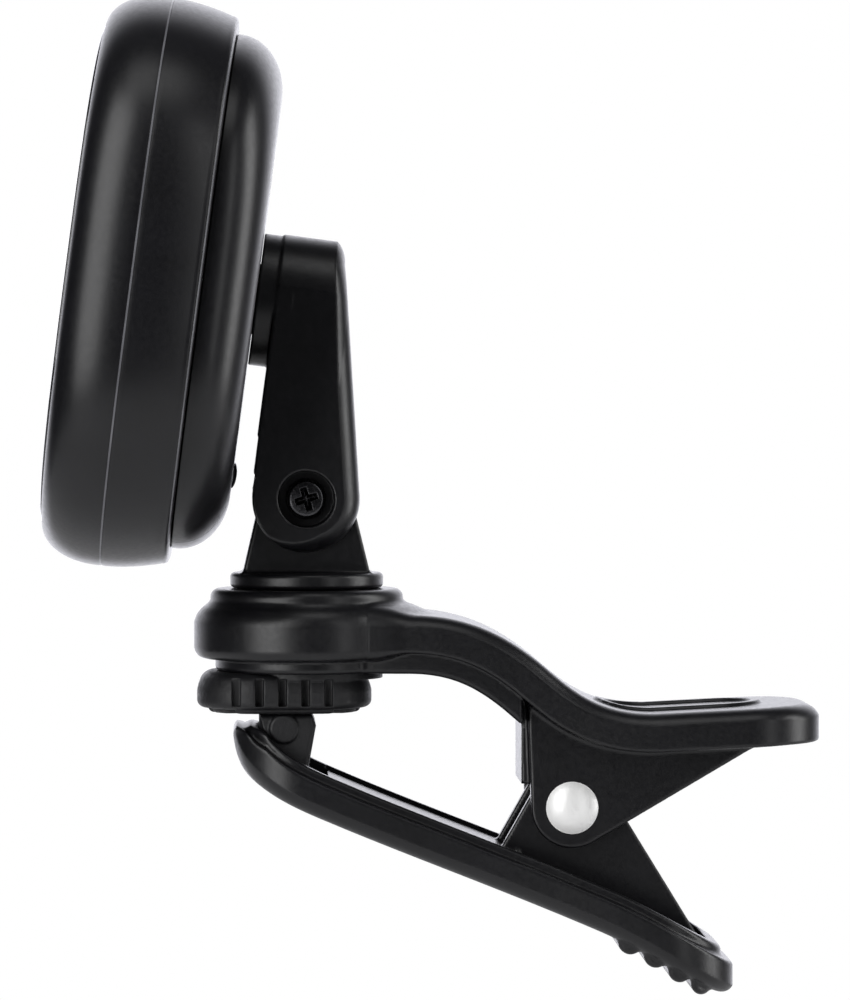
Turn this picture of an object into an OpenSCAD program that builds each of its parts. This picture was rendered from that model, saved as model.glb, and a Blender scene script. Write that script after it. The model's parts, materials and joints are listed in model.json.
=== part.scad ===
// Clip-on tuner: a leaning display head on a swivel arm, a round turntable and a sprung clip.
// The frame's origin is on the turntable's axis, level with the gripping face of the upper pad.
// +Z is up along the turntable's axis, -X is towards the jaws' mouth and the display's front,
// and Y runs across the clip. All sizes are in millimetres.

/* [Head] */
// Width of the head across the display
head_w = 57; // [55:0.5:60]
// Height of the head
head_h = 51.2; // [50:0.2:53]
// Depth of the head, from the bezel's front to the back cover
head_d = 16.2; // [16.2:0.1:17]
// How far the head and the arm lean back at rest, in degrees
lean = 7.5; // [4:0.5:10]
// Squareness of the head's outline, where 2 is an ellipse
squareness = 2.7; // [2.5:0.1:3]
// Wall of the moulded housings
wall = 1.6; // [1.4:0.1:1.8]

/* [Arm and turntable] */
// Width of the arm, which is also the diameter of its round top
arm_w = 12; // [11.8:0.1:12.4]
// Radius of the turntable's disc
disc_r = 6.95; // [6.6:0.05:7.2]
// Height of the tilt screw above the gripping face
tilt_z = 19.3; // [19:0.1:20]

/* [Clip] */
// Thickness of the jaws' flanges
flange_t = 3.4; // [3.2:0.1:3.5]
// Radius of the boss that carries the turntable
boss_r = 9.45; // [9.2:0.05:9.8]
// Radius of the rivet that the jaws turn on
rivet_r = 1.5; // [1.3:0.1:1.7]
// Wire diameter of the torsion spring
wire_d = 0.85; // [0.7:0.05:0.9]

/* [Power] */
// Diameter of the coin cell
cell_d = 20; // [20:0.1:20.2]
// Thickness of the coin cell
cell_t = 3.2; // [3:0.1:3.2]

/* [Hidden] */

slack = 0.05;          // running clearance, and the gap between parts that slide
join = 0.1;            // how far two shapes that become one solid run into each other
screw_r = 1;           // shank of the machine screws
around = 72;           // points round the head's outline
bore_fn = 64;          // facets of a round hole or shaft
far = 60;              // longer than any part, for cuts that go right through

black_plastic = [0.07, 0.07, 0.08];
black_rubber = [0.05, 0.05, 0.055];
silicone = [0.12, 0.12, 0.13];
dark_zinc = [0.3, 0.3, 0.32];
steel = [0.7, 0.71, 0.72];
gold_plate = [0.8, 0.68, 0.35];

// Places in the clip's own plane, as [x, z]
pivot = [23.8, -8.5];
tilt = [-0.1, tilt_z];
head_at = [-4.6, 37.35];

// Heights on the turntable's axis
boss_z = 11.1;
disc_t = 1.4;
jaw_top_z = 8.95;
plate_z = jaw_top_z - flange_t;
lip_h = 1.9;
lip_z = plate_z - lip_h;
spindle_r = 3;

// Depths in the head, measured from the back cover's outer face towards the display
seam_x = -10.6;
step_x = -4.7;
front_x = -head_d;
gasket_t = 0.1;
lens_t = 1.2;
lens_front_x = front_x - 0.2;
lens_inset = 3.1;
ledge_inset = 4.6;
ledge_t = 0.7;
cover_t = 1.5;
board_x = -11.6;
board_t = 1;
cell_x = -9;
cell_u = -11;
head_spindle_r = 3.2;
screw_yu = [16.6, 10.6];
button_u = -15.5;
button_y = 12.5;
power_u = -17.4;

// ---- Curves and outlines ----

// Points on an arc about c, from angle a to angle b
function arc(c, r, a, b, n = 12) =
    [for (i = [0:n]) let (t = a + (b - a) * i / n) [c[0] + r * cos(t), c[1] + r * sin(t)]];

// Points on a cubic Bezier curve, without its last point unless whole is true
function bezier(p, n = 8, whole = false) =
    [for (i = [0:whole ? n : n - 1]) let (t = i / n, s = 1 - t)
        s * s * s * p[0] + 3 * s * s * t * p[1] + 3 * s * t * t * p[2] + t * t * t * p[3]];

// Unit vector square to the line through a and b, to its left
function left_of(a, b) = let (d = b - a) [-d[1], d[0]] / norm(d);

// A line moved sideways by the distance that side gives for each of its points
function shifted(line, side) =
    let (n = len(line))
    [for (i = [0:n - 1])
        line[i] + side[i] * left_of(line[max(i - 1, 0)], line[min(i + 1, n - 1)])];

function turned(list) = [for (i = [len(list) - 1:-1:0]) list[i]];
function all_of(value, line) = [for (p = line) value];

// The head's outline, drawn in by inset, as [y, u]
function head_outline(inset, n = around) =
    [for (i = [0:n - 1]) let (t = 360 * i / n, c = cos(t), s = sin(t))
        [(head_w / 2 - inset) * sign(c) * pow(abs(c), 2 / squareness),
         (head_h / 2 - inset) * sign(s) * pow(abs(s), 2 / squareness)]];

// Top line of the upper jaw, from the mouth to the end of the handle
upper_line = concat(
    [[-12, jaw_top_z]],
    bezier([[9, jaw_top_z], [14, jaw_top_z], [17.5, 7.4], [21.1, 4.4]]),
    bezier([[21.1, 4.4], [24, 1.9], [26.2, 0.1], [31, 0.1]]),
    [[31, 0.1], [43, 0.7], [48, 0.7]]
);

// Bottom line of the lower jaw, from the tip to the end of the handle
lower_line = concat(
    bezier([[-7.7, -1.2], [-7.4, -5.4], [-2.8, -7.7], [2, -9.7]]),
    bezier([[2, -9.7], [8.5, -12.5], [18, -16], [26, -19.4]]),
    bezier([[26, -19.4], [30, -21.1], [34, -23.8], [38.8, -26.3]], 6, true)
);
// The lower jaw is thin at its tip and thickens along the first curve
lower_side = [for (i = [0:len(lower_line) - 1]) min(3, 1.5 + 0.3 * i)];
rim_h = 0.8;

// Plan outline of a jaw, drawn in by inset: a round or blunt mouth, a waist and a broad handle end
function upper_plan(inset) = concat(
    arc([0, 0], boss_r - inset, 90, 270, 24),
    [[20, -8.6 + inset]],
    arc([39.4, -2.6], 7 - inset, -90, 0, 10),
    arc([39.4, 2.6], 7 - inset, 0, 90, 10),
    [[20, 8.6 - inset]]
);
function lower_plan(inset) = concat(
    arc([-0.6, 2], 6.6 - inset, 90, 180, 10),
    arc([-0.6, -2], 6.6 - inset, 180, 270, 10),
    [[20, -8.4 + inset]],
    arc([31.3, -2.6], 7 - inset, -90, 0, 10),
    arc([31.3, 2.6], 7 - inset, 0, 90, 10),
    [[20, 8.4 - inset]]
);

// Outline of the thumb's ring on the handle, drawn in by inset
function thumb_plan(inset) =
    concat(arc([36.6, 0], 4.4 - inset, -90, 90, 12), arc([31, 0], 4.4 - inset, 90, 270, 12));

// ---- Shapes that repeat ----

// A profile of [x, z] points, as thick as width along Y and centred on the clip's plane
module across(profile, width, y = 0) {
    translate([0, y + width / 2, 0]) rotate([90, 0, 0]) linear_extrude(width) polygon(profile);
}

// A round rod along Y between two values of y
module rod_y(at, r, y0, y1, fn = bore_fn) {
    translate([at[0], y0, at[1]]) rotate([-90, 0, 0]) cylinder(h = y1 - y0, r = r, $fn = fn);
}

// Puts the head's own frame in place: X out of the back cover, Z up along the display
module in_head() {
    translate([head_at[0], 0, head_at[1]]) rotate([0, lean, 0]) children();
}

// A round rod along the head's X between two depths
module rod_x(x0, x1, r, y = 0, u = 0, fn = bore_fn) {
    translate([x0, y, u]) rotate([0, 90, 0]) cylinder(h = x1 - x0, r = r, $fn = fn);
}

// A box given by its lowest and highest corners
module block(low, high) {
    translate(low) cube(high - low);
}

// A solid whose rings follow the head's outline; each ring is [x, inset], from front to back
module lofted(rings, n = around) {
    m = len(rings);
    points = [for (r = rings) for (q = head_outline(r[1], n)) [r[0], q[0], q[1]]];
    sides = [for (j = [0:m - 2]) for (i = [0:n - 1]) let (k = (i + 1) % n)
        each [[(j + 1) * n + k, j * n + k, j * n + i], [(j + 1) * n + i, (j + 1) * n + k, j * n + i]]];
    caps = [[for (i = [0:n - 1]) i], [for (i = [n - 1:-1:0]) (m - 1) * n + i]];
    polyhedron(points, concat(sides, caps));
}

// A hoop that carries a closed profile of [x, inset] points round the head's outline
module hoop(profile, n = around) {
    m = len(profile);
    points = [for (p = profile) for (q = head_outline(p[1], n)) [p[0], q[0], q[1]]];
    sides = [for (j = [0:m - 1]) for (i = [0:n - 1]) let (k = (i + 1) % n, l = (j + 1) % m)
        each [[j * n + i, l * n + k, j * n + k], [j * n + i, l * n + i, l * n + k]]];
    polyhedron(points, sides);
}

// A flat plate with the head's outline
module head_plate(x0, x1, inset) {
    translate([x0, 0, 0]) rotate([90, 0, 90]) linear_extrude(x1 - x0) polygon(head_outline(inset));
}

// A cross-head screw along -Z: its head's underside is at z = 0 and its shank points down
module screw(head_r, head_t, shank_r, length) {
    slot_l = head_r * 1.24;
    slot_w = head_r * 0.34;
    slot_d = head_t * 0.6;
    difference() {
        union() {
            cylinder(h = head_t, r = head_r, $fn = bore_fn);
            translate([0, 0, -length]) cylinder(h = length + join, r = shank_r, $fn = bore_fn);
        }
        for (a = [0, 90])
            rotate(a) translate([-slot_l / 2, -slot_w / 2, head_t - slot_d])
                cube([slot_l, slot_w, head_t]);
    }
}

// A washer along Z, standing on z = 0
module washer(r, hole_r, t) {
    difference() {
        cylinder(h = t, r = r, $fn = bore_fn);
        translate([0, 0, -1]) cylinder(h = t + 2, r = hole_r, $fn = bore_fn);
    }
}

// ---- Clip ----

// The part of a jaw between its line and that line shifted by the distances in a and in b
module ribbon(line, a, b) {
    across(concat(shifted(line, a), turned(shifted(line, b))), far);
}

module jaw_slab(line, a, b, plan) {
    intersection() {
        ribbon(line, a, b);
        translate([0, 0, -far]) linear_extrude(2 * far) polygon(plan);
    }
}

// The ear's outline: a round eye about the pivot, with two edges that run off it to the corners
// given, at the angles where they touch the eye
function ear(corner_a, angle_a, corner_b, angle_b, eye_r) =
    concat([corner_a], arc(pivot, eye_r, angle_a, angle_b, 16), [corner_b]);

rim_in = 1.1;          // how far the lip and the tray's rim are set in from the flange's edge
hollow_in = 2.4;       // and the hollows inside them
ear_t = 1.4;
upper_ear_y = 4.5;
lower_ear_y = 3;
lower_ear_t = 1.3;
eye_r = 3.6;
upper_ear = ear([20.0, 4], 180, [41.5, -2.1], 300, eye_r);
lower_ear = ear([37.2, -23.4], 35, [15.7, -15.4], 145, eye_r);

module upper_jaw() {
    web_x = [19.4, 20.2];
    web_z = [-6.4, 3.6];
    hollow_end_x = 18.2;
    handle_hollow_x = 29;
    handle_hollow_in = 2.2;
    handle_skin = 2;
    thumb_h = 0.3;
    boss_fillet = 0.9;
    boss_top_r = 7.8;
    color(black_plastic) difference() {
        union() {
            // flange, and the lip that is set in under it at the front
            jaw_slab(upper_line, all_of(0, upper_line), all_of(-flange_t, upper_line), upper_plan(0));
            intersection() {
                jaw_slab(upper_line, all_of(1 - flange_t, upper_line),
                    all_of(-flange_t - lip_h, upper_line), upper_plan(rim_in));
                block([-far, -far, -far], [web_x[0], far, far]);
            }
            // boss for the turntable
            rotate_extrude($fn = 96) polygon(concat(
                [[0, plate_z], [8, plate_z], [boss_r - slack, jaw_top_z - 0.6]],
                arc([boss_r + 0.15, boss_z - 1.2], boss_fillet, 260, 180, 4),
                arc([boss_top_r, boss_z - boss_fillet], boss_fillet, 0, 90, 6),
                [[0, boss_z]]));
            // ears and the web that joins them
            for (side = [-1, 1])
                difference() {
                    across(upper_ear, ear_t, side * (upper_ear_y + ear_t / 2));
                    ribbon(upper_line, all_of(9, upper_line), all_of(-1, upper_line));
                }
            block([web_x[0], -upper_ear_y - join, web_z[0]], [web_x[1], upper_ear_y + join, web_z[1]]);
            // raised ring for the thumb
            intersection() {
                ribbon(upper_line, all_of(thumb_h, upper_line), all_of(-1, upper_line));
                translate([0, 0, -far]) linear_extrude(2 * far) difference() {
                    polygon(thumb_plan(0));
                    polygon(thumb_plan(1));
                }
            }
        }
        // hollow inside the lip and under the handle
        intersection() {
            jaw_slab(upper_line, all_of(-flange_t, upper_line), all_of(-9, upper_line),
                upper_plan(hollow_in));
            block([-far, -far, -far], [hollow_end_x, far, far]);
        }
        intersection() {
            jaw_slab(upper_line, all_of(-handle_skin, upper_line), all_of(-flange_t - 3, upper_line),
                upper_plan(handle_hollow_in));
            block([handle_hollow_x, -upper_ear_y, -far], [far, upper_ear_y, far]);
        }
        // bores for the turntable's spindle and for the rivet
        translate([0, 0, -1]) cylinder(h = far, r = spindle_r + slack, $fn = bore_fn);
        rod_y(pivot, rivet_r, -far / 2, far / 2);
    }
}

// The lower jaw's shallow tray, with a rim that is set in from its edge
tray_depth = 1.5;
tray_floor = [for (s = lower_side) s - tray_depth];
tray_rim = [for (s = lower_side) s + rim_h];
// The tray is filled to just below its rim between the lower pad and the ears
deck_x = [1.9, 19];
deck_top = [for (s = tray_rim) s - 0.4];
module tray() {
    difference() {
        union() {
            jaw_slab(lower_line, all_of(0, lower_line), lower_side, lower_plan(0));
            jaw_slab(lower_line, tray_floor, tray_rim, lower_plan(rim_in));
        }
        jaw_slab(lower_line, tray_floor, [for (s = tray_rim) s + 1], lower_plan(hollow_in));
    }
}

module lower_jaw() {
    rib_at = [[28.9, -20.35], [31.2, -21.6], [33.4, -23], [35.5, -24.3]];
    rib_r = 1.15;
    color(black_plastic) difference() {
        union() {
            tray();
            for (side = [-1, 1])
                intersection() {
                    across(lower_ear, lower_ear_t, side * (lower_ear_y + lower_ear_t / 2));
                    ribbon(lower_line, [for (s = tray_floor) s - 0.3], all_of(far, lower_line));
                }
            intersection() {
                ribbon(lower_line, [for (s = tray_floor) s - 0.3], deck_top);
                translate([0, 0, -far]) linear_extrude(2 * far) polygon(lower_plan(1.8));
                block([deck_x[0], -far, -far], [deck_x[1], far, 0]);
            }
            // grip ribs under the handle
            for (p = rib_at)
                intersection() {
                    rod_y(p, rib_r, -far / 2, far / 2, 24);
                    translate([0, 0, -far]) linear_extrude(2 * far) polygon(lower_plan(0.9));
                    ribbon(lower_line, all_of(-far, lower_line), all_of(0.4, lower_line));
                }
        }
        rod_y(pivot, rivet_r + slack, -far / 2, far / 2);
    }
}

rivet_head_r = 2.35;
rivet_head_t = 0.9;
rivet_y = upper_ear_y + ear_t;

module hinge_rivet() {
    // the domed heads are slices of a ball that is as wide as the head where it meets the ear
    ball_r = (rivet_head_r * rivet_head_r + rivet_head_t * rivet_head_t) / (2 * rivet_head_t);
    color([0.85, 0.86, 0.88]) {
        rod_y(pivot, rivet_r, -rivet_y, rivet_y);
        for (side = [0, 180])
            translate([pivot[0], 0, pivot[1]]) rotate([90, 0, side]) intersection() {
                translate([0, 0, rivet_y + rivet_head_t - ball_r]) sphere(r = ball_r, $fn = bore_fn);
                translate([0, 0, rivet_y]) cylinder(h = 2, r = rivet_head_r + slack, $fn = bore_fn);
            }
    }
}

// The spring's wire: in along one leg, round the coil and out along the other leg
coil_r = 2.4;
coil_w = 4.8;
coil_from = 112.5;
coil_to = 222 + 5 * 360;
leg_len = 11;
function on_coil(t) =
    let (a = coil_from + (coil_to - coil_from) * t)
    [pivot[0] + coil_r * cos(a), coil_w * (t - 0.5), pivot[1] + coil_r * sin(a)];
function leg_dir(a) = [cos(a), 0, sin(a)];
wire_path = concat(
    [for (d = [leg_len, 6, 2]) on_coil(0) + d * leg_dir(coil_from - 90)],
    [for (i = [0:96]) on_coil(i / 96)],
    [for (d = [2, 6, leg_len - 1]) on_coil(1) + d * leg_dir(coil_to + 90)]
);

// A tube of radius r along a path, with flat ends
module tube(path, r, sides = 8) {
    n = len(path);
    points = [for (i = [0:n - 1])
        let (
            t = path[min(i + 1, n - 1)] - path[max(i - 1, 0)],
            u = cross(t, [0, 1, 0]) / norm(cross(t, [0, 1, 0])),
            v = cross(t, u) / norm(cross(t, u))
        )
        for (k = [0:sides - 1]) let (a = 360 * k / sides) path[i] + r * (cos(a) * u + sin(a) * v)];
    walls = [for (i = [0:n - 2]) for (k = [0:sides - 1]) let (l = (k + 1) % sides)
        each [[i * sides + k, (i + 1) * sides + l, i * sides + l],
              [i * sides + k, (i + 1) * sides + k, (i + 1) * sides + l]]];
    ends = [[for (k = [0:sides - 1]) k], [for (k = [sides - 1:-1:0]) (n - 1) * sides + k]];
    polyhedron(points, concat(walls, ends));
}

module clip_spring() {
    color([0.55, 0.56, 0.58]) tube(wire_path, wire_d / 2);
}

// Plan of the upper pad: flat sides between round ends
pad_x = -2.05;
pad_len = 15.8;
pad_w = 14;
pad_end_r = 5.4;
pad_slots = 5;
pad_pitch = 2.07;
pad_slot = [0.75, 1.7, 2.4];
rib_t = 0.5;
rib_w = 1.5;
rib_pitch = 2;
plug_r = 4.9;
function pad_plan(inset) =
    let (x = pad_len / 2 - pad_end_r, y = pad_w / 2 - pad_end_r, r = pad_end_r - inset)
    concat(
        arc([pad_x + x, -y], r, -90, 0), arc([pad_x + x, y], r, 0, 90),
        arc([pad_x - x, y], r, 90, 180), arc([pad_x - x, -y], r, 180, 270));

module upper_pad() {
    slot_x0 = pad_x - (pad_slots - 1) / 2 * pad_pitch - 0.2;
    slot_z = 1.95;
    side_z = [0.8, 2.9];
    color(black_rubber) difference() {
        union() {
            // block with its upper and lower edges cut back
            translate([0, 0, rib_t]) linear_extrude(lip_z - rib_t) polygon(pad_plan(0.5));
            translate([0, 0, side_z[0]]) linear_extrude(side_z[1] - side_z[0]) polygon(pad_plan(0));
            // plug that is glued into the jaw's hollow, round the turntable's washer
            translate([0, 0, lip_z - join]) washer(boss_r - 2.5, plug_r, plate_z - lip_z + join);
            // gripping ribs that cross the headstock's face
            for (i = [-3:3])
                intersection() {
                    translate([pad_x + i * rib_pitch, 0, 0])
                        block([-rib_w / 2, -far, 0], [rib_w / 2, far, rib_t + join]);
                    linear_extrude(2) polygon(pad_plan(1));
                }
        }
        for (i = [0:pad_slots - 1])
            for (side = [-1, 1])
                translate([slot_x0 + i * pad_pitch, side * pad_w / 2, slot_z])
                    cube(pad_slot, center = true);
    }
}

module lower_pad() {
    face_z = -0.12;
    width = 10.4;
    boss_r = 1.15;
    color(black_rubber) difference() {
        union() {
            across([[-4.7, -4.2], [-5.3, face_z], [0.5, face_z], [0.75, -1.3], [0.1, -6]], width);
            // rounded boss that stands out of each side
            rod_y([-2.1, -1.6], boss_r, -width / 2 - 0.4, width / 2 + 0.4);
        }
        // moulded to sit in the tray
        ribbon(lower_line, all_of(-far, lower_line), tray_floor);
        tray();
    }
}

// ---- Turntable ----

lug_w = 6.6;
lug_eye_r = 4.4;
washer_t = 0.3;
base_washer_t = 0.6;
// The spindle stands out under the plate, so that its washer turns freely
spindle_end_z = plate_z - 0.1;

module swivel_base() {
    disc_z = boss_z + slack;
    top_z = disc_z + disc_t;
    edge_r = 0.5;
    foot = [[-5.85, top_z - 0.5], [5.85, top_z - 0.5]];
    pilot_top = 13.2;
    // the angles at which the lug's straight edges touch its eye
    function touch(p, s) =
        let (d = p - tilt, far_a = atan2(d[1], d[0])) far_a + s * acos(lug_eye_r / norm(d));
    color(black_plastic) difference() {
        union() {
            translate([0, 0, disc_z]) rotate_extrude($fn = 96) polygon(concat(
                [[0, 0], [disc_r - 0.15, 0], [disc_r, 0.2]],
                arc([disc_r - edge_r, disc_t - edge_r], edge_r, 0, 90, 6),
                [[0, disc_t]]));
            across(concat(foot,
                arc(tilt, lug_eye_r, touch(foot[1], 1), 360 + touch(foot[0], -1), 24)), lug_w);
            translate([0, 0, spindle_end_z])
                cylinder(h = top_z - 1 - spindle_end_z, r = spindle_r, $fn = bore_fn);
        }
        rod_y(tilt, screw_r + slack, -far / 2, far / 2);
        cylinder(h = pilot_top, r = screw_r, $fn = bore_fn);
    }
}

module base_washer() {
    color(steel) translate([0, 0, spindle_end_z - base_washer_t])
        washer(4.6, screw_r + 2 * slack, base_washer_t);
}

module base_screw() {
    color(dark_zinc) translate([0, 0, spindle_end_z - base_washer_t]) rotate([180, 0, 0])
        screw(2.1, 1.1, screw_r, 7.2);
}

// ---- Arm ----

// The arm's side outline in the head's frame, as [x, u]
arm_front = 1.8;
tilt_local = let (d = tilt - head_at)
    [d[0] * cos(lean) - d[1] * sin(lean), d[0] * sin(lean) + d[1] * cos(lean)];
arm_eye_r = 4.85;
arm_top = [5.9, 4.5];  // middle of the fillet between the arm's top and its back
arm_top_r = 1.5;
arm_outline = concat(
    [[arm_front, arm_w / 2 + 1], [arm_top[0], arm_w / 2 + 1]],
    arc(arm_top, arm_top_r, 90, 12, 6),
    arc(tilt_local, arm_eye_r, 12, -180, 30),
    [[arm_front, tilt_local[1] + 1.2]]
);
ear_in = 3.7;
channel_top = -7.2;
channel_back = [7.1, 8.3];
fold_room = 6.4;
spindle_out = 1.6;     // how far the head's spindle runs past the cover's face
spindle_washer_t = 0.8;
seat_depth = 1.4;
seat_r = 2.57;
nut_r = 2.07;          // across the nut's corners
nut_t = 1.2;
pocket_depth = 1.5;
head_screw_depth = 0.95;

module tilt_arm() {
    color(black_plastic) in_head() difference() {
        union() {
            intersection() {
                across(arm_outline, arm_w);
                // round top about the spindle's axis, and straight sides below it
                union() {
                    rod_x(0, far / 2, arm_w / 2, fn = 96);
                    block([0, -arm_w / 2, -far], [far / 2, arm_w / 2, 0]);
                }
            }
            rod_x(slack, arm_front + 1, arm_w / 2, fn = 96);
            rod_x(-spindle_out, slack + join, head_spindle_r);
        }
        // channel that the turntable's lug turns in, open to the front and below
        across([[arm_front - 1, -far / 2], [arm_front - 1, channel_top], [channel_back[0], channel_top],
            [channel_back[1], -far / 2]], 2 * ear_in);
        // and open at the back round the lug, so that the arm folds right down
        block([tilt_local[0], -ear_in, -far], [far / 2, ear_in, tilt_local[1] + fold_room]);
        rod_y(tilt_local, lug_eye_r + 0.25, -ear_in, ear_in);
        // tilt screw: its bore, the counterbore for its head and the pocket for its nut
        rod_y(tilt_local, screw_r + slack, -far / 2, far / 2);
        rod_y(tilt_local, seat_r, -far / 2, seat_depth - arm_w / 2);
        rod_y(tilt_local, nut_r + slack, arm_w / 2 - pocket_depth, far / 2, 6);
        // pilot for the spindle's screw
        rod_x(-3, 5, screw_r);
    }
}

module tilt_screw() {
    color(dark_zinc) in_head() translate([tilt_local[0], seat_depth - arm_w / 2, tilt_local[1]])
        rotate([90, 0, 0]) rotate(24) screw(1.68, 1, screw_r, arm_w - 1.8);
}

module tilt_nut() {
    color([0.6, 0.6, 0.62]) in_head() difference() {
        rod_y(tilt_local, nut_r, arm_w / 2 - pocket_depth, arm_w / 2 - pocket_depth + nut_t, 6);
        rod_y(tilt_local, screw_r, -far / 2, far / 2);
    }
}

module friction_washers() {
    color([0.75, 0.73, 0.68]) in_head() for (side = [-1, 1])
        translate([tilt_local[0], side * (ear_in - washer_t / 2), tilt_local[1]]) rotate([90, 0, 0])
            translate([0, 0, -washer_t / 2]) washer(3.4, screw_r + 2 * slack, washer_t);
}

module spindle_washer() {
    color(steel) in_head() rotate([0, -90, 0]) translate([0, 0, spindle_out])
        washer(5.2, screw_r + 2 * slack, spindle_washer_t);
}

module spindle_screw() {
    color(dark_zinc) in_head() rotate([0, -90, 0])
        translate([0, 0, spindle_out + spindle_washer_t]) screw(2, 1.2, screw_r, 6.5);
}

// ---- Head ----

side_drop = 0.85;
edge_r = 0.6;
bulkhead_t = 1.2;
bulkhead_in = 4.4;
// How far the housing's side has drawn in at depth x behind the seam
function rear_inset(x) = side_drop * pow((x - seam_x) / (step_x - edge_r - seam_x), 1.8);

// A quarter of an ellipse as [x, inset]: from the side at x = from, it runs to x = from + depth
function rounded_edge(from, inset, depth, width, step) =
    [for (t = [0:step:90]) [from + depth * sin(t), inset + width * (1 - cos(t))]];

module front_bezel() {
    fillet_d = 4.85;
    fillet = rounded_edge(front_x + fillet_d, 0, -fillet_d, 3, 11.25);
    lens_back_x = lens_front_x + lens_t;
    color(black_plastic) in_head() hoop(concat(
        [[seam_x - slack / 2, 0]], fillet,
        [[front_x, lens_inset - slack], [lens_back_x + gasket_t, lens_inset - slack],
         [lens_back_x + gasket_t, ledge_inset], [lens_back_x + gasket_t + ledge_t, ledge_inset],
         [lens_back_x + gasket_t + ledge_t, wall], [seam_x - slack / 2, wall]]));
}

// One child at each of the four screws that hold the housing together
module at_screws() {
    for (y = [-1, 1])
        for (u = [-1, 1])
            translate([0, y * screw_yu[0], u * screw_yu[1]]) children();
}

post_r = 2.1;
housing_screw_r = 0.9;

module middle_housing() {
    side = [for (i = [0:6]) let (x = seam_x + (step_x - edge_r - seam_x) * i / 6) [x, rear_inset(x)]];
    edge = arc([step_x - edge_r, side_drop + edge_r], edge_r, 270, 360, 4);
    color(black_plastic) in_head() {
        hoop(concat(side, edge, [[step_x, bulkhead_in + join], [step_x - bulkhead_t, bulkhead_in + join],
            [step_x - bulkhead_t, wall + 0.7], [seam_x, wall]]));
        difference() {
            union() {
                head_plate(step_x - bulkhead_t, step_x - slack, bulkhead_in);
                at_screws() rod_x(seam_x + 0.1, step_x - edge_r, post_r);
            }
            // openings for the spindle's washer and for the cell
            rod_x(-far, far, 6.6);
            rod_x(-far, far, cell_d / 2 + 0.5, 0, cell_u);
            at_screws() rod_x(-far, far, housing_screw_r);
        }
    }
}

// The back cover before the battery's opening is cut from it
module cover_shell() {
    cover_in = 2.4;
    fillet_d = 4.3;
    difference() {
        lofted(concat([[step_x + slack, cover_in]], rounded_edge(-fillet_d, cover_in, fillet_d, 5.2, 15)));
        // its inside is stepped, so that the wall follows the rounded edge
        head_plate(step_x - 1, -cover_t - wall, cover_in + wall);
        head_plate(step_x - 1, -cover_t, cover_in + wall + 1.2);
        rod_x(-far, far, head_spindle_r + slack);
    }
}

door_w = 21.2;
door_top = -6.9;

// The region of the cover that the battery door takes up, grown by gap
module door_region(gap) {
    block([-far, -door_w / 2 - gap, -far], [far, door_w / 2 + gap, door_top + gap]);
}

module back_cover() {
    color(black_plastic) in_head() difference() {
        cover_shell();
        door_region(0.1);
        at_screws() {
            rod_x(-far, far, housing_screw_r + slack);
            rod_x(-head_screw_depth, far, 1.95);
        }
    }
}

module battery_door() {
    rib_half = 0.5;
    rib_u = [-13.5, -9.5];
    ridge = [[-0.3, -4.5, 0], [0.25, 4.5, 0.4]];
    color(black_plastic) in_head() {
        intersection() {
            cover_shell();
            door_region(0);
        }
        // ribs that keep the cell in place, and the ridges for the thumb
        for (y = [-5, 5])
            block([cell_x + cell_t + 0.1, y - rib_half, rib_u[0]],
                [join - cover_t, y + rib_half, rib_u[1]]);
        for (u = [-17.9, -17, -16.1])
            translate([0, 0, u]) block(ridge[0], ridge[1]);
    }
}

module lens() {
    color([0.03, 0.03, 0.035, 0.9]) in_head() difference() {
        head_plate(lens_front_x, lens_front_x + lens_t, lens_inset);
        button_holes(button_gap);
    }
}

module lens_gasket() {
    color([0.02, 0.02, 0.02]) in_head() difference() {
        head_plate(lens_front_x + lens_t, lens_front_x + lens_t + gasket_t, lens_inset + 0.1);
        head_plate(-far, far, ledge_inset - 0.1);
    }
}

// A pill across the display, between two depths
module pill(x0, x1, half_len, r, u) {
    for (y = [-1, 1]) rod_x(x0, x1, r, y * (half_len - r), u);
    block([x0, -(half_len - r), u - r], [x1, half_len - r, u + r]);
}

button_gap = 0.12;
power_half = 5.6;
power_r = 2.25;
small_r = 2.35;
stem_r = 1.2;

module button_holes(gap) {
    pill(-far, far, power_half + gap, power_r + gap, power_u);
    for (side = [-1, 1]) rod_x(-far, far, small_r + gap, side * button_y, button_u);
}

button_end_x = -13.5;
// A flange behind the lens keeps each button in its hole
flange_out = 0.7;
flange_x = [lens_front_x + lens_t + 0.15, lens_front_x + lens_t + 0.75];

module power_button() {
    color(silicone) in_head() {
        union() {
            pill(lens_front_x, flange_x[1], power_half, power_r, power_u);
            pill(flange_x[0], flange_x[1], power_half + flange_out, power_r + flange_out, power_u);
            rod_x(flange_x[1] - join, button_end_x, stem_r, 0, power_u);
        }
    }
}

module small_button(side) {
    color(silicone) in_head() union() {
        rod_x(lens_front_x, flange_x[1], small_r, side * button_y, button_u);
        rod_x(flange_x[0], flange_x[1], small_r + flange_out, side * button_y, button_u);
        rod_x(flange_x[1] - join, button_end_x, stem_r, side * button_y, button_u);
    }
}

display_half = [15, 12.5];
display_u = 4;
display_x = [lens_front_x + lens_t + 0.15, -13.1];

module display_panel() {
    color([0.1, 0.12, 0.14]) in_head()
        block([display_x[0], -display_half[0], display_u - display_half[1]],
            [display_x[1], display_half[0], display_u + display_half[1]]);
}

module backlight() {
    color([0.9, 0.9, 0.88]) in_head()
        block([display_x[1] + slack, -display_half[0] + 0.5, display_u - display_half[1] + 0.5],
            [board_x - slack, display_half[0] - 0.5, display_u + display_half[1] - 0.5]);
}

module circuit_board() {
    color([0.05, 0.25, 0.12]) in_head() head_plate(board_x, board_x + board_t, 2.6);
}

module main_chip() {
    color([0.06, 0.06, 0.06]) in_head()
        block([board_x + board_t, -3.5, 6], [board_x + board_t + 1, 3.5, 13]);
}

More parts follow.
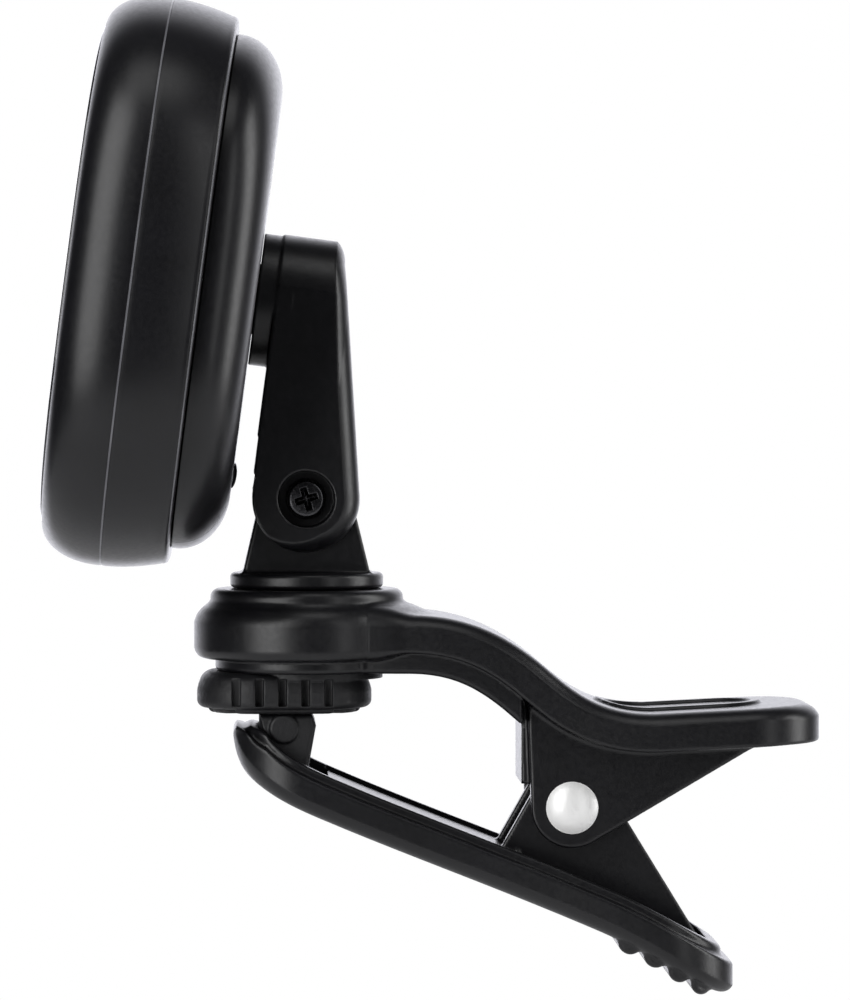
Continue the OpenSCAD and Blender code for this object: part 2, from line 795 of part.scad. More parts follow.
module crystal() {
    color([0.75, 0.75, 0.76]) in_head() block([board_x + board_t, 7, 8], [board_x + board_t + 1.5, 13, 10.4]);
}

module tact_switches() {
    half = 2.2;
    body_x = board_x - 0.9;
    color([0.25, 0.25, 0.26]) in_head()
        for (p = [[0, power_u], [-button_y, button_u], [button_y, button_u]]) {
            block([body_x, p[0] - half, p[1] - half], [board_x, p[0] + half, p[1] + half]);
            rod_x(body_x - 0.4, body_x, 1, p[0], p[1]);
        }
}

module piezo_sensor() {
    color([0.75, 0.6, 0.25]) in_head() rod_x(-cover_t - 0.45, -cover_t, 6.5, 0, 13.2);
}

module coin_cell() {
    color([0.75, 0.76, 0.78]) in_head() union() {
        rod_x(cell_x, cell_x + 0.4, cell_d / 2 - 1.2, 0, cell_u);
        rod_x(cell_x + 0.4, cell_x + cell_t, cell_d / 2, 0, cell_u);
    }
}

module contact_spring() {
    leaf_t = 0.25;
    leaf_w = 5;
    foot_x = board_x + board_t;
    tip_x = cell_x - slack;
    color(gold_plate) in_head() union() {
        block([foot_x, -leaf_w / 2, cell_u - 5], [foot_x + leaf_t, leaf_w / 2, cell_u + 2.1]);
        // blade from the foot's top to the cell's face
        across([[foot_x, cell_u + 1.7], [tip_x - leaf_t, cell_u - 3.4], [tip_x, cell_u - 3.4],
            [tip_x, cell_u - 3], [foot_x + leaf_t, cell_u + 2.1], [foot_x, cell_u + 2.1]], leaf_w);
    }
}

module contact_clip() {
    inner_r = cell_d / 2 + slack;
    strip = concat(arc([0, 0], inner_r, 60, 120), turned(arc([0, 0], inner_r + 0.25, 60, 120)));
    color(gold_plate) in_head() translate([board_x + board_t, 0, cell_u]) rotate([90, 0, 90])
        linear_extrude(cell_x + cell_t - 0.4 - board_x - board_t) polygon(strip);
}

module housing_screws() {
    color(dark_zinc) in_head()
        for (y = [-1, 1])
            for (u = [-1, 1])
                translate([-head_screw_depth, y * screw_yu[0], u * screw_yu[1]]) rotate([0, 90, 0])
                    rotate(y * u * 17) screw(1.75, 0.75, housing_screw_r, 7.5);
}

upper_jaw();
lower_jaw();
hinge_rivet();
clip_spring();
upper_pad();
lower_pad();
swivel_base();
base_washer();
base_screw();
tilt_arm();
tilt_screw();
tilt_nut();
friction_washers();
spindle_washer();
spindle_screw();
front_bezel();
middle_housing();
back_cover();
battery_door();
lens();
lens_gasket();
display_panel();
backlight();
circuit_board();
main_chip();
crystal();
tact_switches();
piezo_sensor();
coin_cell();
contact_spring();
contact_clip();
power_button();
small_button(-1);  // pitch_down_button
small_button(1);  // pitch_up_button
housing_screws();
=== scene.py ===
"""Clip-on tuner: the visible shells, pads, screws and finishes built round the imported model.

Lengths are in millimetres until a mesh is written, and places are in the model's own frame: the origin
is level with the upper pad's gripping face on the turntable's axis, +Z is up, -X is the display's side.
"""

import json

import bpy
import numpy as np
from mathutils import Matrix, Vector
from mathutils.geometry import tessellate_polygon

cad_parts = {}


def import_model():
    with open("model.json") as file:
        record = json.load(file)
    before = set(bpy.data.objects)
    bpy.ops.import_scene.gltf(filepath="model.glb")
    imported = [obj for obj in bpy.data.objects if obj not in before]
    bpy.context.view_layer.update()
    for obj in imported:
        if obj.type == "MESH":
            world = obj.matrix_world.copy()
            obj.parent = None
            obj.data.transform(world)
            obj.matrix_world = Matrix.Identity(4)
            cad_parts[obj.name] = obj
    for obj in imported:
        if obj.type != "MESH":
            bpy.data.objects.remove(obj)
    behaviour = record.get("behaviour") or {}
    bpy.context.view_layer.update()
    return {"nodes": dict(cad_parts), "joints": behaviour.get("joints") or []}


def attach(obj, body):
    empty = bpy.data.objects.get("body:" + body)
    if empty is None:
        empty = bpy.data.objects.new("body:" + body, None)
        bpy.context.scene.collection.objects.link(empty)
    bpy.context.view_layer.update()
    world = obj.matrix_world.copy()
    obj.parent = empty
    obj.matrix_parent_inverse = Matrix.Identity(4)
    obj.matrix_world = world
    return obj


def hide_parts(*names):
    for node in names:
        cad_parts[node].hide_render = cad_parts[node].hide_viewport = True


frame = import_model()

MM = 0.001

# ---- Places that come from the model ----

JOINTS = {joint["name"]: joint for joint in frame["joints"]}


def place(joint):
    """A joint's centre in millimetres."""
    return np.array(JOINTS[joint]["pos_m"]) / MM


PIVOT = place("jaw_open")
TILT = place("arm_tilt")
HEAD = place("head_spin")
LEAN = -np.arctan2(JOINTS["head_spin"]["axis"][2], JOINTS["head_spin"]["axis"][0])
BOSS_TOP = place("base_turn")[2]
C_LEAN, S_LEAN = np.cos(LEAN), np.sin(LEAN)

# ---- Driving sizes ----

# Head: half width, half height, and the power of its outline, where 2 is an ellipse
HEAD_Y = 28.5
HEAD_U = 25.7
HEAD_POWER = 2.7
FRONT_X = -16.2
SEAM_X = -10.6
STEP_X = -4.7
LENS_X = -16.4
LENS_T = 1.2
LENS_INSET = 3.1
DOOR_Y = 10.6
DOOR_TOP = -6.9
GAP = 0.1
SCREW_Y = 16.6
SCREW_U = 10.6
POWER_U = -17.4
SIDE_BUTTON = (12.5, -15.5)

# Arm, turntable and clip
ARM_R = 6.0
ARM_EYE_R = 4.85
LUG_Y = 3.3
DISC_R = 6.95
DISC_Z = BOSS_TOP + 0.05
DISC_T = 1.4
BOSS_R = 9.45
JAW_TOP = 8.95
FLANGE_T = 3.4
LIP_DEPTH = 1.9
LIP_IN = 1.15
PLATE_Z = JAW_TOP - FLANGE_T
LIP_Z = PLATE_Z - LIP_DEPTH
HOLLOW_IN = 2.4
WEB_X = (19.3, 20.4)
# Thumb ring on the handle: the middle of its round ends, and their radius
THUMB_X = (30.6, 37.0)
THUMB_R = 3.9
# Lower jaw: its rim, the tray inside it, and the deck that nearly fills the tray
RIM_H = 0.8
RIM_IN = 1.1
TRAY_DEPTH = 1.5
DECK_X = (1.9, 19)
DECK_RISE = 0.4
RIVET_R = 1.5
EAR_Y = (4.5, 5.9)
LOW_EAR_Y = (3.0, 4.3)
EYE_R = 3.65


# ---- Points, faces and meshes ----


def arc(centre, radius, first, last, count=13):
    """Points on a circle about centre, from one angle to another, in degrees."""
    turn = np.radians(np.linspace(first, last, count))
    return np.stack([centre[0] + radius * np.cos(turn), centre[1] + radius * np.sin(turn)], 1)


def bezier(p0, p1, p2, p3, count=25):
    """A cubic Bezier curve: the four points weighed by (1-t)^3, 3t(1-t)^2, 3t^2(1-t) and t^3."""
    t = np.linspace(0, 1, count)[:, None]
    points = [np.array(p, float) for p in (p0, p1, p2, p3)]
    weights = ((1 - t) ** 3, 3 * t * (1 - t) ** 2, 3 * t**2 * (1 - t), t**3)
    return sum(w * p for w, p in zip(weights, points))


def grid_faces(rows, columns, close_rows=False, close_columns=False):
    """Quads of a grid of rows x columns points, which may close on itself either way."""
    i = np.arange(rows if close_rows else rows - 1)[:, None]
    j = np.arange(columns if close_columns else columns - 1)[None, :]
    i2, j2 = (i + 1) % rows, (j + 1) % columns
    corners = (i * columns + j, i * columns + j2, i2 * columns + j2, i2 * columns + j)
    return np.stack([np.broadcast_to(c, (i.size, j.size)) for c in corners], -1).reshape(-1, 4)


def volume(points, faces):
    """Six times the volume inside closed faces, negative if they point inwards."""
    total = 0.0
    for face in faces:
        for k in range(1, face.shape[1] - 1):
            a, b, c = points[face[:, 0]], points[face[:, k]], points[face[:, k + 1]]
            total += np.einsum("ij,ij->", a, np.cross(b, c))
    return total


def outward(points, faces):
    """The faces turned round if they enclose a negative volume."""
    return [f[:, ::-1] for f in faces] if volume(points, faces) < 0 else faces


def lean_back(points):
    """From the head's own frame (x out of its back, y, u up its face) to the model's frame."""
    x, y, u = np.moveaxis(points, -1, 0)
    return np.stack([HEAD[0] + x * C_LEAN + u * S_LEAN, y, HEAD[2] - x * S_LEAN + u * C_LEAN], -1)


def made(name, points, faces, material, body, nodes=(), crease=32, normals=None):
    """A piece from closed faces: facing outwards, smoothed up to its creases, and riding on body."""
    points = np.asarray(points, float).reshape(-1, 3)
    faces = [f for f in faces if len(f)]
    faces = outward(points, faces)
    mesh = bpy.data.meshes.new(name)
    mesh.vertices.add(len(points))
    mesh.vertices.foreach_set("co", (points * MM).astype(np.float32).ravel())
    corners = np.concatenate([f.ravel() for f in faces])
    sizes = np.concatenate([np.full(len(f), f.shape[1]) for f in faces])
    mesh.loops.add(len(corners))
    mesh.loops.foreach_set("vertex_index", corners.astype(np.int32))
    mesh.polygons.add(len(sizes))
    starts = np.concatenate([[0], np.cumsum(sizes)[:-1]])
    mesh.polygons.foreach_set("loop_start", starts.astype(np.int32))
    mesh.update(calc_edges=True)
    mesh.validate()
    mesh.shade_smooth()
    if normals is not None:
        mesh.normals_split_custom_set_from_vertices(normals.tolist())
    else:
        mesh.set_sharp_from_angle(angle=np.radians(crease))
    mesh.materials.append(material)
    piece = bpy.data.objects.new(name, mesh)
    bpy.context.scene.collection.objects.link(piece)
    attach(piece, body)
    if nodes:
        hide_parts(*nodes)
    return piece


def merged(*parts):
    """Several (points, faces) shapes as one."""
    points, faces, start = [], [], 0
    for part_points, part_faces in parts:
        points.append(np.asarray(part_points, float).reshape(-1, 3))
        faces += [f + start for f in part_faces]
        start += len(points[-1])
    return np.concatenate(points), faces


def lathe(profile, turns=96):
    """A closed profile of (r, z) points carried round Z: x = r cos t, y = r sin t. Ends may lie at r = 0."""
    profile = np.asarray(profile, float)
    t = np.linspace(0, 2 * np.pi, turns, endpoint=False)
    ring = np.stack([np.cos(t), np.sin(t)], 1)
    open_ends = profile[0][0] < 1e-6 and profile[-1][0] < 1e-6
    inner = profile[1:-1] if open_ends else profile
    x = inner[:, 0, None] * ring[None, :, 0]
    y = inner[:, 0, None] * ring[None, :, 1]
    z = np.broadcast_to(inner[:, 1, None], x.shape)
    points = np.stack([x, y, z], -1).reshape(-1, 3)
    if not open_ends:
        return points, [grid_faces(len(inner), turns, True, True)]
    faces = [grid_faces(len(inner), turns, False, True)]
    around = np.arange(turns)
    first, last = len(points), len(points) + 1
    caps = [[0, 0, profile[0][1]], [0, 0, profile[-1][1]]]
    base = (len(inner) - 1) * turns
    faces.append(np.stack([np.full(turns, first), np.roll(around, -1), around], 1))
    faces.append(np.stack([np.full(turns, last), base + around, base + np.roll(around, -1)], 1))
    return np.concatenate([points, caps]), faces


def along_x(points):
    """A shape built round Z turned to lie round X: z becomes x."""
    x, y, z = np.asarray(points).T
    return np.stack([z, x, y], 1)


def thickened(outer, faces, inner):
    """A closed wall between an open sheet and the same sheet moved to inner, with a rim."""
    count = len(outer)
    edges = []
    for face in faces:
        edges.append(np.stack([face, np.roll(face, -1, 1)], -1).reshape(-1, 2))
    edges = np.concatenate(edges)
    key = edges[:, 0] * count + edges[:, 1]
    back = edges[:, 1] * count + edges[:, 0]
    rim = edges[~np.isin(key, back)]
    walls = np.stack([rim[:, 1], rim[:, 0], rim[:, 0] + count, rim[:, 1] + count], 1)
    inside = [f[:, ::-1] + count for f in faces]
    return np.concatenate([outer, inner]), [*faces, *inside, walls]


def filled(loops):
    """Triangles that fill a flat outline with holes. Each loop is 2-D points, the outline first."""
    flat = np.concatenate(loops)
    rings = [[Vector((*p, 0)) for p in loop] for loop in loops]
    triangles = np.array(tessellate_polygon(rings))
    a, b, c = (flat[triangles[:, k]] for k in range(3))
    turn = np.cross(b - a, c - a)
    triangles = triangles[np.abs(turn) > 1e-9]
    turn = turn[np.abs(turn) > 1e-9]
    triangles[turn < 0] = triangles[turn < 0][:, ::-1]
    return triangles


# ---- The head's outline ----


def head_radius(turn, inset):
    """How far the outline lies from the middle at an angle: ((|cos|/a)^n + (|sin|/b)^n)^(-1/n)."""
    a, b, n = HEAD_Y - inset, HEAD_U - inset, HEAD_POWER
    return (np.abs(np.cos(turn) / a) ** n + np.abs(np.sin(turn) / b) ** n) ** (-1 / n)


def head_rings(profile, turns=288):
    """The outline carried along a profile of (x, inset) points: one ring for each point."""
    profile = np.asarray(profile, float)
    t = np.linspace(0, 2 * np.pi, turns, endpoint=False)[None, :]
    x, inset = profile[:, :1], profile[:, 1:]
    r = head_radius(t, inset)
    return np.stack([np.broadcast_to(x, r.shape), r * np.cos(t), r * np.sin(t)], -1)


def hoop(profile, turns=288):
    """A closed profile of (x, inset) points carried round the outline."""
    rings = head_rings(profile, turns)
    return rings.reshape(-1, 3), [grid_faces(len(profile), turns, True, True)]


def softened(profile, radius, steps=3):
    """A closed profile with each corner of over 25 degrees cut to a small round of that radius."""
    profile = np.asarray(profile, float)
    count = len(profile)
    out = []
    for k in range(count):
        here = profile[k]
        before, after = profile[k - 1] - here, profile[(k + 1) % count] - here
        lb, la = np.hypot(*before), np.hypot(*after)
        cos = np.dot(before, after) / (lb * la)
        if cos < np.cos(np.radians(155)):
            out.append(here)
            continue
        cut = min(radius, lb * 0.45, la * 0.45)
        a, b = here + before / lb * cut, here + after / la * cut
        t = np.linspace(0, 1, steps + 1)[:, None]
        out.extend((1 - t) ** 2 * a + 2 * t * (1 - t) * here + t**2 * b)
    return np.array(out)


# ---- Solids given by a field ----


def polygon_field(x, z, loop):
    """Distance from points to a closed outline in a plane, negative inside it."""
    nearest = np.full(np.broadcast(x, z).shape, 1e9, np.float32)
    sign = np.ones_like(nearest)
    for a, b in zip(loop, np.roll(loop, -1, 0)):
        ex, ez = b - a
        length = ex * ex + ez * ez
        if length < 1e-12:
            continue
        wx, wz = x - a[0], z - a[1]
        t = np.clip((wx * ex + wz * ez) / length, 0, 1)
        nearest = np.minimum(nearest, (wx - ex * t) ** 2 + (wz - ez * t) ** 2)
        above, below, left = z >= a[1], z < b[1], ex * wz > ez * wx
        crossed = (above & below & left) | (~above & ~below & ~left)
        sign = np.where(crossed, -sign, sign)
    return sign * np.sqrt(nearest)


def line_field(x, z, line):
    """Distance from points to an open line in a plane, positive on its left."""
    nearest = np.full(np.broadcast(x, z).shape, 1e9, np.float32)
    side = np.ones_like(nearest)
    for a, b in zip(line[:-1], line[1:]):
        ex, ez = b - a
        wx, wz = x - a[0], z - a[1]
        t = np.clip((wx * ex + wz * ez) / (ex * ex + ez * ez), 0, 1)
        gap = (wx - ex * t) ** 2 + (wz - ez * t) ** 2
        nearer = gap < nearest
        nearest = np.where(nearer, gap, nearest)
        side = np.where(nearer, np.sign(ex * wz - ez * wx), side)
    return side * np.sqrt(nearest)


def both(a, b, radius=0.0):
    """Where a and b overlap, with the edge between them rounded to a radius."""
    if np.ndim(radius) == 0 and radius <= 0:
        return np.maximum(a, b)
    rounded = np.hypot(np.maximum(a + radius, 0), np.maximum(b + radius, 0))
    return np.minimum(np.maximum(a + radius, b + radius), 0) + rounded - radius


def either(a, b, radius=0.0):
    """a and b together, with a fillet of that radius between them."""
    return -both(-a, -b, radius)


def less(a, b, radius=0.0):
    """a with b cut out of it, with the edge of the cut rounded to a radius."""
    return both(a, -b, radius)


def slab_field(v, low, high):
    """Distance to the slab between two values of one coordinate."""
    return np.maximum(low - v, v - high)


def rod_field(a, b, centre, radius):
    """Distance to a round rod whose section lies in the plane of a and b."""
    return np.hypot(a - centre[0], b - centre[1]) - radius


def tabled(field, low, high, step=0.08):
    """The same plane field read from a grid of its values, between which it runs straight."""
    a = np.arange(low[0], high[0] + step, step)
    b = np.arange(low[1], high[1] + step, step)
    values = field(a[:, None], b[None, :]).astype(np.float32)

    def read(x, y):
        u = np.clip((x - low[0]) / step, 0, len(a) - 1.01)
        v = np.clip((y - low[1]) / step, 0, len(b) - 1.01)
        i, j = u.astype(np.int32), v.astype(np.int32)
        s, t = u - i, v - j
        near = values[i, j] * (1 - s) + values[i + 1, j] * s
        return near * (1 - t) + (values[i, j + 1] * (1 - s) + values[i + 1, j + 1] * s) * t

    return read


def slope(field, points, h):
    """The field's unit gradient at points, from its values a small step h to each side."""
    grad = []
    for k in range(3):
        d = np.zeros(3)
        d[k] = h
        grad.append(field(*(points + d).T) - field(*(points - d).T))
    grad = np.stack(grad, 1)
    return grad / np.maximum(np.linalg.norm(grad, axis=1, keepdims=True), 1e-9)


def skin(field, low, high, step):
    """The surface where a field is zero, as quads, with its normals.

    Each cell of a grid that the surface passes through gets one point: the place that lies nearest to
    all the tangent planes at the crossings of the cell's edges, which keeps creases crisp.
    """
    axes = [np.arange(a, b + step, step) for a, b in zip(low, high)]
    origin = np.array([a[0] for a in axes])
    f = np.broadcast_to(field(*np.ix_(*axes)), tuple(len(a) for a in axes))
    inside = f < 0
    shape = tuple(n - 1 for n in f.shape)
    count = np.zeros(shape, np.int8)
    for i in (0, 1):
        for j in (0, 1):
            for k in (0, 1):
                count += inside[i : i + shape[0], j : j + shape[1], k : k + shape[2]]
    cells = np.argwhere((count > 0) & (count < 8))
    index = np.full(shape, -1, np.int64)
    index[tuple(cells.T)] = np.arange(len(cells))
    total, hits = np.zeros((len(cells), 3)), np.zeros(len(cells))
    planes, pulls = np.zeros((len(cells), 3, 3)), np.zeros((len(cells), 3))
    quads = []
    for axis in range(3):
        b, c = [(1, 2), (2, 0), (0, 1)][axis]
        ahead = np.take(inside, range(1, inside.shape[axis]), axis)
        here = np.take(inside, range(0, inside.shape[axis] - 1), axis)
        start = np.argwhere(here != ahead)
        end = start.copy()
        end[:, axis] += 1
        fa, fb = f[tuple(start.T)], f[tuple(end.T)]
        spot = start.astype(float)
        spot[:, axis] += fa / (fa - fb)
        spot = origin + spot * step
        normal = slope(field, spot, 0.02)
        plane = normal[:, :, None] * normal[:, None, :]
        pull = normal * (normal * spot).sum(1, keepdims=True)
        ring = []
        for db, dc in ((1, 1), (0, 1), (0, 0), (1, 0)):
            cell = start.copy()
            cell[:, b] -= db
            cell[:, c] -= dc
            ids = index[tuple(cell.T)]
            total[ids] += spot
            hits[ids] += 1
            planes[ids] += plane
            pulls[ids] += pull
            ring.append(ids)
        ring = np.stack(ring, 1)
        outward = here[tuple(start.T)]
        ring[~outward] = ring[~outward][:, ::-1]
        quads.append(ring)
    middle = total / hits[:, None]
    planes += 0.03 * hits[:, None, None] * np.eye(3)
    pulls += 0.03 * hits[:, None] * middle
    points = np.linalg.solve(planes, pulls[:, :, None])[:, :, 0]
    corner = origin + cells * step
    points = np.clip(points, corner, corner + step)
    return points, [np.concatenate(quads)], slope(field, points, 0.45 * step)


def field_piece(name, field, low, high, step, material, body, nodes, lean=False):
    """A piece whose surface is where its field is zero."""
    points, faces, normals = skin(field, low, high, step * (1))
    if lean:
        tips = lean_back(normals) - np.array([HEAD[0], 0, HEAD[2]])
        points, normals = lean_back(points), tips
    return made(name, points, faces, material, body, nodes, normals=normals)


# ---- Finishes ----


def nodes_of(name):
    """A new material of that name, its node tree and its shader."""
    material = bpy.data.materials.new(name)
    material.use_nodes = True
    tree = material.node_tree
    return material, tree, tree.nodes["Principled BSDF"]


def noise(tree, scale, detail=3.0, roughness=0.5, distortion=0.0):
    """Noise on the piece's own coordinates; scale counts features to the metre."""
    place_node = tree.nodes.get("Place") or tree.nodes.new("ShaderNodeTexCoord")
    place_node.name = "Place"
    node = tree.nodes.new("ShaderNodeTexNoise")
    node.inputs["Scale"].default_value = scale
    node.inputs["Detail"].default_value = detail
    node.inputs["Roughness"].default_value = roughness
    node.inputs["Distortion"].default_value = distortion
    tree.links.new(place_node.outputs["Object"], node.inputs["Vector"])
    return node


def ramp(tree, source, low, high, first=0.3, last=0.7):
    """A value that goes from low to high as the source goes from first to last."""
    node = tree.nodes.new("ShaderNodeMapRange")
    for key, value in (("From Min", first), ("From Max", last), ("To Min", low), ("To Max", high)):
        node.inputs[key].default_value = value
    tree.links.new(source, node.inputs["Value"])
    return node.outputs["Result"]


def tint(tree, factor, dark, light):
    """A colour between two, by a factor."""
    node = tree.nodes.new("ShaderNodeMix")
    node.data_type = "RGBA"
    node.inputs["A"].default_value = (*dark, 1)
    node.inputs["B"].default_value = (*light, 1)
    tree.links.new(factor, node.inputs["Factor"])
    return node.outputs["Result"]


def bump(tree, heights):
    """Bumps laid one on another. Each height is (source, depth in metres, strength)."""
    normal = None
    for source, depth, strength in heights:
        node = tree.nodes.new("ShaderNodeBump")
        node.inputs["Distance"].default_value = depth
        node.inputs["Strength"].default_value = strength
        tree.links.new(source, node.inputs["Height"])
        if normal is not None:
            tree.links.new(normal, node.inputs["Normal"])
        normal = node.outputs["Normal"]
    return normal


def finish(name, dark, light, rough, grain, metallic=0.0, coat=0.0, sheen=0.0, specular=0.5):
    """A finish whose colour, roughness and surface all vary with noise.

    dark and light are the colour's ends, rough the roughness's ends, and grain is a list of
    (features to the metre, depth in metres, strength).
    """
    material, tree, shader = nodes_of(name)
    broad = noise(tree, 260, 4)
    fine = noise(tree, 2600, 3)
    colour = tint(tree, ramp(tree, broad.outputs["Fac"], 0, 1), dark, light)
    tree.links.new(colour, shader.inputs["Base Color"])
    tree.links.new(ramp(tree, fine.outputs["Fac"], *rough), shader.inputs["Roughness"])
    shader.inputs["Metallic"].default_value = metallic
    shader.inputs["Coat Weight"].default_value = coat
    shader.inputs["Sheen Weight"].default_value = sheen
    shader.inputs["Specular IOR Level"].default_value = specular
    heights = [(noise(tree, scale, 2).outputs["Fac"], depth, strength) for scale, depth, strength in grain]
    if heights:
        tree.links.new(bump(tree, heights), shader.inputs["Normal"])
    return material


SATIN = finish("satin_black_moulding", (0.0028, 0.0028, 0.0036), (0.005, 0.005, 0.0064), (0.31, 0.39),
               [(7000, 0.00002, 0.22), (420, 0.00006, 0.12)])
HEAD_SATIN = finish("head_black_moulding", (0.003, 0.003, 0.004), (0.005, 0.005, 0.0066), (0.29, 0.36),
                    [(8000, 0.00001, 0.12), (300, 0.00006, 0.1)])
RUBBER = finish("pad_black_rubber", (0.004, 0.004, 0.005), (0.009, 0.009, 0.0105), (0.42, 0.6),
                [(3200, 0.00006, 0.35), (9000, 0.00002, 0.3)])
BUTTON = finish("button_silicone", (0.014, 0.014, 0.016), (0.019, 0.019, 0.021), (0.5, 0.62),
                [(6000, 0.00002, 0.25)])
# nearly white with little metal: the white is a painted reflection of the bright surroundings, laid over the
# rivet's own bright nickel
RIVET_PAINTED_REFLECTION = finish("nickel_rivet_painted_reflection", (0.93, 0.93, 0.92), (0.97, 0.97, 0.96), (0.3, 0.38),
               [(900, 0.00001, 0.08)], metallic=0.15)
# light grey finish of the thin beads at the head's seam and step: a painted highlight standing in for the
# glint that these edges catch
SEAM_PAINTED_HIGHLIGHT = finish("seam_painted_highlight", (0.1, 0.1, 0.112), (0.16, 0.16, 0.175), (0.28, 0.36), [(3000, 0.00001, 0.1)])
BLACK_ZINC = finish("black_zinc_screw", (0.055, 0.055, 0.06), (0.1, 0.1, 0.105), (0.2, 0.32),
                    [(5000, 0.00001, 0.2)], metallic=1.0)
SPRING = finish("drawn_spring_wire", (0.42, 0.42, 0.43), (0.55, 0.55, 0.56), (0.22, 0.34),
                [(4000, 0.00001, 0.2)], metallic=1.0)
STEEL = finish("plain_washer_steel", (0.5, 0.5, 0.51), (0.64, 0.64, 0.65), (0.28, 0.42),
               [(3000, 0.00001, 0.2)], metallic=1.0)
CAN = finish("nickel_plated_can", (0.6, 0.59, 0.57), (0.7, 0.69, 0.67), (0.2, 0.32),
             [(2500, 0.00001, 0.15)], metallic=1.0)
NYLON = finish("natural_nylon", (0.62, 0.6, 0.54), (0.7, 0.68, 0.62), (0.45, 0.6), [(3000, 0.00002, 0.2)])
FOAM = finish("gasket_foam", (0.012, 0.012, 0.012), (0.025, 0.025, 0.025), (0.85, 0.95),
              [(5000, 0.0001, 0.5)])
DIFFUSER = finish("white_diffuser", (0.72, 0.72, 0.7), (0.8, 0.8, 0.78), (0.5, 0.65),
                  [(2000, 0.00002, 0.1)])
BOARD = finish("green_solder_mask", (0.008, 0.07, 0.025), (0.02, 0.13, 0.05), (0.25, 0.4),
               [(900, 0.00003, 0.3)])
EPOXY = finish("chip_epoxy", (0.012, 0.012, 0.012), (0.02, 0.02, 0.02), (0.5, 0.65), [(6000, 0.00002, 0.3)])
BRASS = finish("sensor_brass", (0.52, 0.36, 0.12), (0.62, 0.45, 0.17), (0.25, 0.38),
               [(1500, 0.00001, 0.2)], metallic=1.0)
PLATED = finish("plated_contact", (0.6, 0.48, 0.24), (0.7, 0.58, 0.32), (0.2, 0.32),
                [(2500, 0.00001, 0.2)], metallic=1.0)
GLASS = finish("display_glass", (0.012, 0.014, 0.016), (0.018, 0.02, 0.022), (0.06, 0.1),
               [(1200, 0.00001, 0.05)])

CAD_FINISH = {
    "base_washer": STEEL, "base_screw": BLACK_ZINC, "tilt_nut": STEEL, "friction_washers": NYLON,
    "spindle_washer": STEEL, "spindle_screw": BLACK_ZINC, "lens_gasket": FOAM, "display_panel": GLASS,
    "backlight": DIFFUSER, "circuit_board": BOARD, "main_chip": EPOXY, "crystal": CAN,
    "tact_switches": EPOXY, "piezo_sensor": BRASS, "coin_cell": CAN, "contact_spring": PLATED,
    "contact_clip": PLATED, "housing_screws": BLACK_ZINC, "clip_spring": SPRING,
}


def repaint(node, material):
    """A carried-over node in its own finish."""
    slots = frame["nodes"][node].data.materials
    slots.clear()
    slots.append(material)


for node_name, node_finish in CAD_FINISH.items():
    repaint(node_name, node_finish)


# ---- Head ----


def quarter(x0, inset0, depth, width, steps=20):
    """A quarter of an ellipse: x moves by depth sin t and the inset grows by width (1 - cos t)."""
    t = np.linspace(0, np.pi / 2, steps)
    return np.stack([x0 + depth * np.sin(t), inset0 + width * (1 - np.cos(t))], 1)


def front_bezel():
    """A closed hoop: a quarter ellipse outside, and inside it the ledge that the lens lies on."""
    front = quarter(FRONT_X + 4.85, 0, -4.85, 2.9, 22)
    lens_back = LENS_X + LENS_T
    back = [
        [FRONT_X, LENS_INSET - 0.05], [lens_back + 0.1, LENS_INSET - 0.05], [lens_back + 0.1, 4.6],
        [lens_back + 0.8, 4.6], [lens_back + 0.8, 1.6], [SEAM_X - 0.03, 1.6],
    ]
    # the seam's edge is drawn in a little, which leaves a fine line between the shells
    edge = [[SEAM_X - 0.03, 0.16], [SEAM_X - 0.12, 0.03], [SEAM_X - 0.3, 0]]
    profile = np.concatenate([edge, front, softened(back, 0.1)])
    points, faces = hoop(profile)
    made("front_bezel_shell", lean_back(points), faces, HEAD_SATIN, "head", ["front_bezel"],
         28)


def middle_housing():
    """A closed hoop whose side draws in by 0.9 t^1.8 towards the back, with a round rear corner."""
    end = STEP_X - 0.55
    x = np.linspace(SEAM_X + 0.3, end, 26)
    side = np.stack([x, 0.9 * ((x - SEAM_X) / (end - SEAM_X)) ** 1.8], 1)
    corner = arc((end, 0.9 + 0.55), 0.55, 90, 0, 8)
    corner[:, 1] = 2 * (0.9 + 0.55) - corner[:, 1]
    # two thin light grey beads, at the seam and round the rear corner, paint in the highlight along these
    # edges
    highlight_bead = [[SEAM_X - 0.13, 0.3], [SEAM_X - 0.1, 0.045], [SEAM_X + 0.06, 0.045], [SEAM_X + 0.09, 0.3]]
    ring = arc((end + 0.35, 1.1), 0.1, 0, 360, 9)[:-1]
    made("housing_step_painted_highlight", lean_back(hoop(ring)[0]), hoop(ring)[1], SEAM_PAINTED_HIGHLIGHT, "head")
    made("housing_seam_painted_highlight", lean_back(hoop(np.array(highlight_bead))[0]), hoop(np.array(highlight_bead))[1], SEAM_PAINTED_HIGHLIGHT, "head")
    inner = [[STEP_X, 4.4], [STEP_X - 1.2, 4.4], [STEP_X - 1.2, 2.2], [SEAM_X, 1.6]]
    edge = [[SEAM_X, 0.16], [SEAM_X + 0.1, 0.03]]
    profile = np.concatenate([edge, side, corner[1:], inner])
    made("middle_housing_shell", lean_back(hoop(profile)[0]), hoop(profile)[1], HEAD_SATIN, "head",
         ["middle_housing"], 28)


COVER_BASE = 2.4
COVER_DEPTH = 4.3
COVER_WIDTH = 5.2


def cover_profile():
    """(x, inset) up the back cover's side and round its edge to its flat back."""
    wall = [[STEP_X + 0.05, COVER_BASE + 0.12], [STEP_X + 0.17, COVER_BASE]]
    return np.concatenate([wall, quarter(-COVER_DEPTH, COVER_BASE, COVER_DEPTH, COVER_WIDTH, 24)])


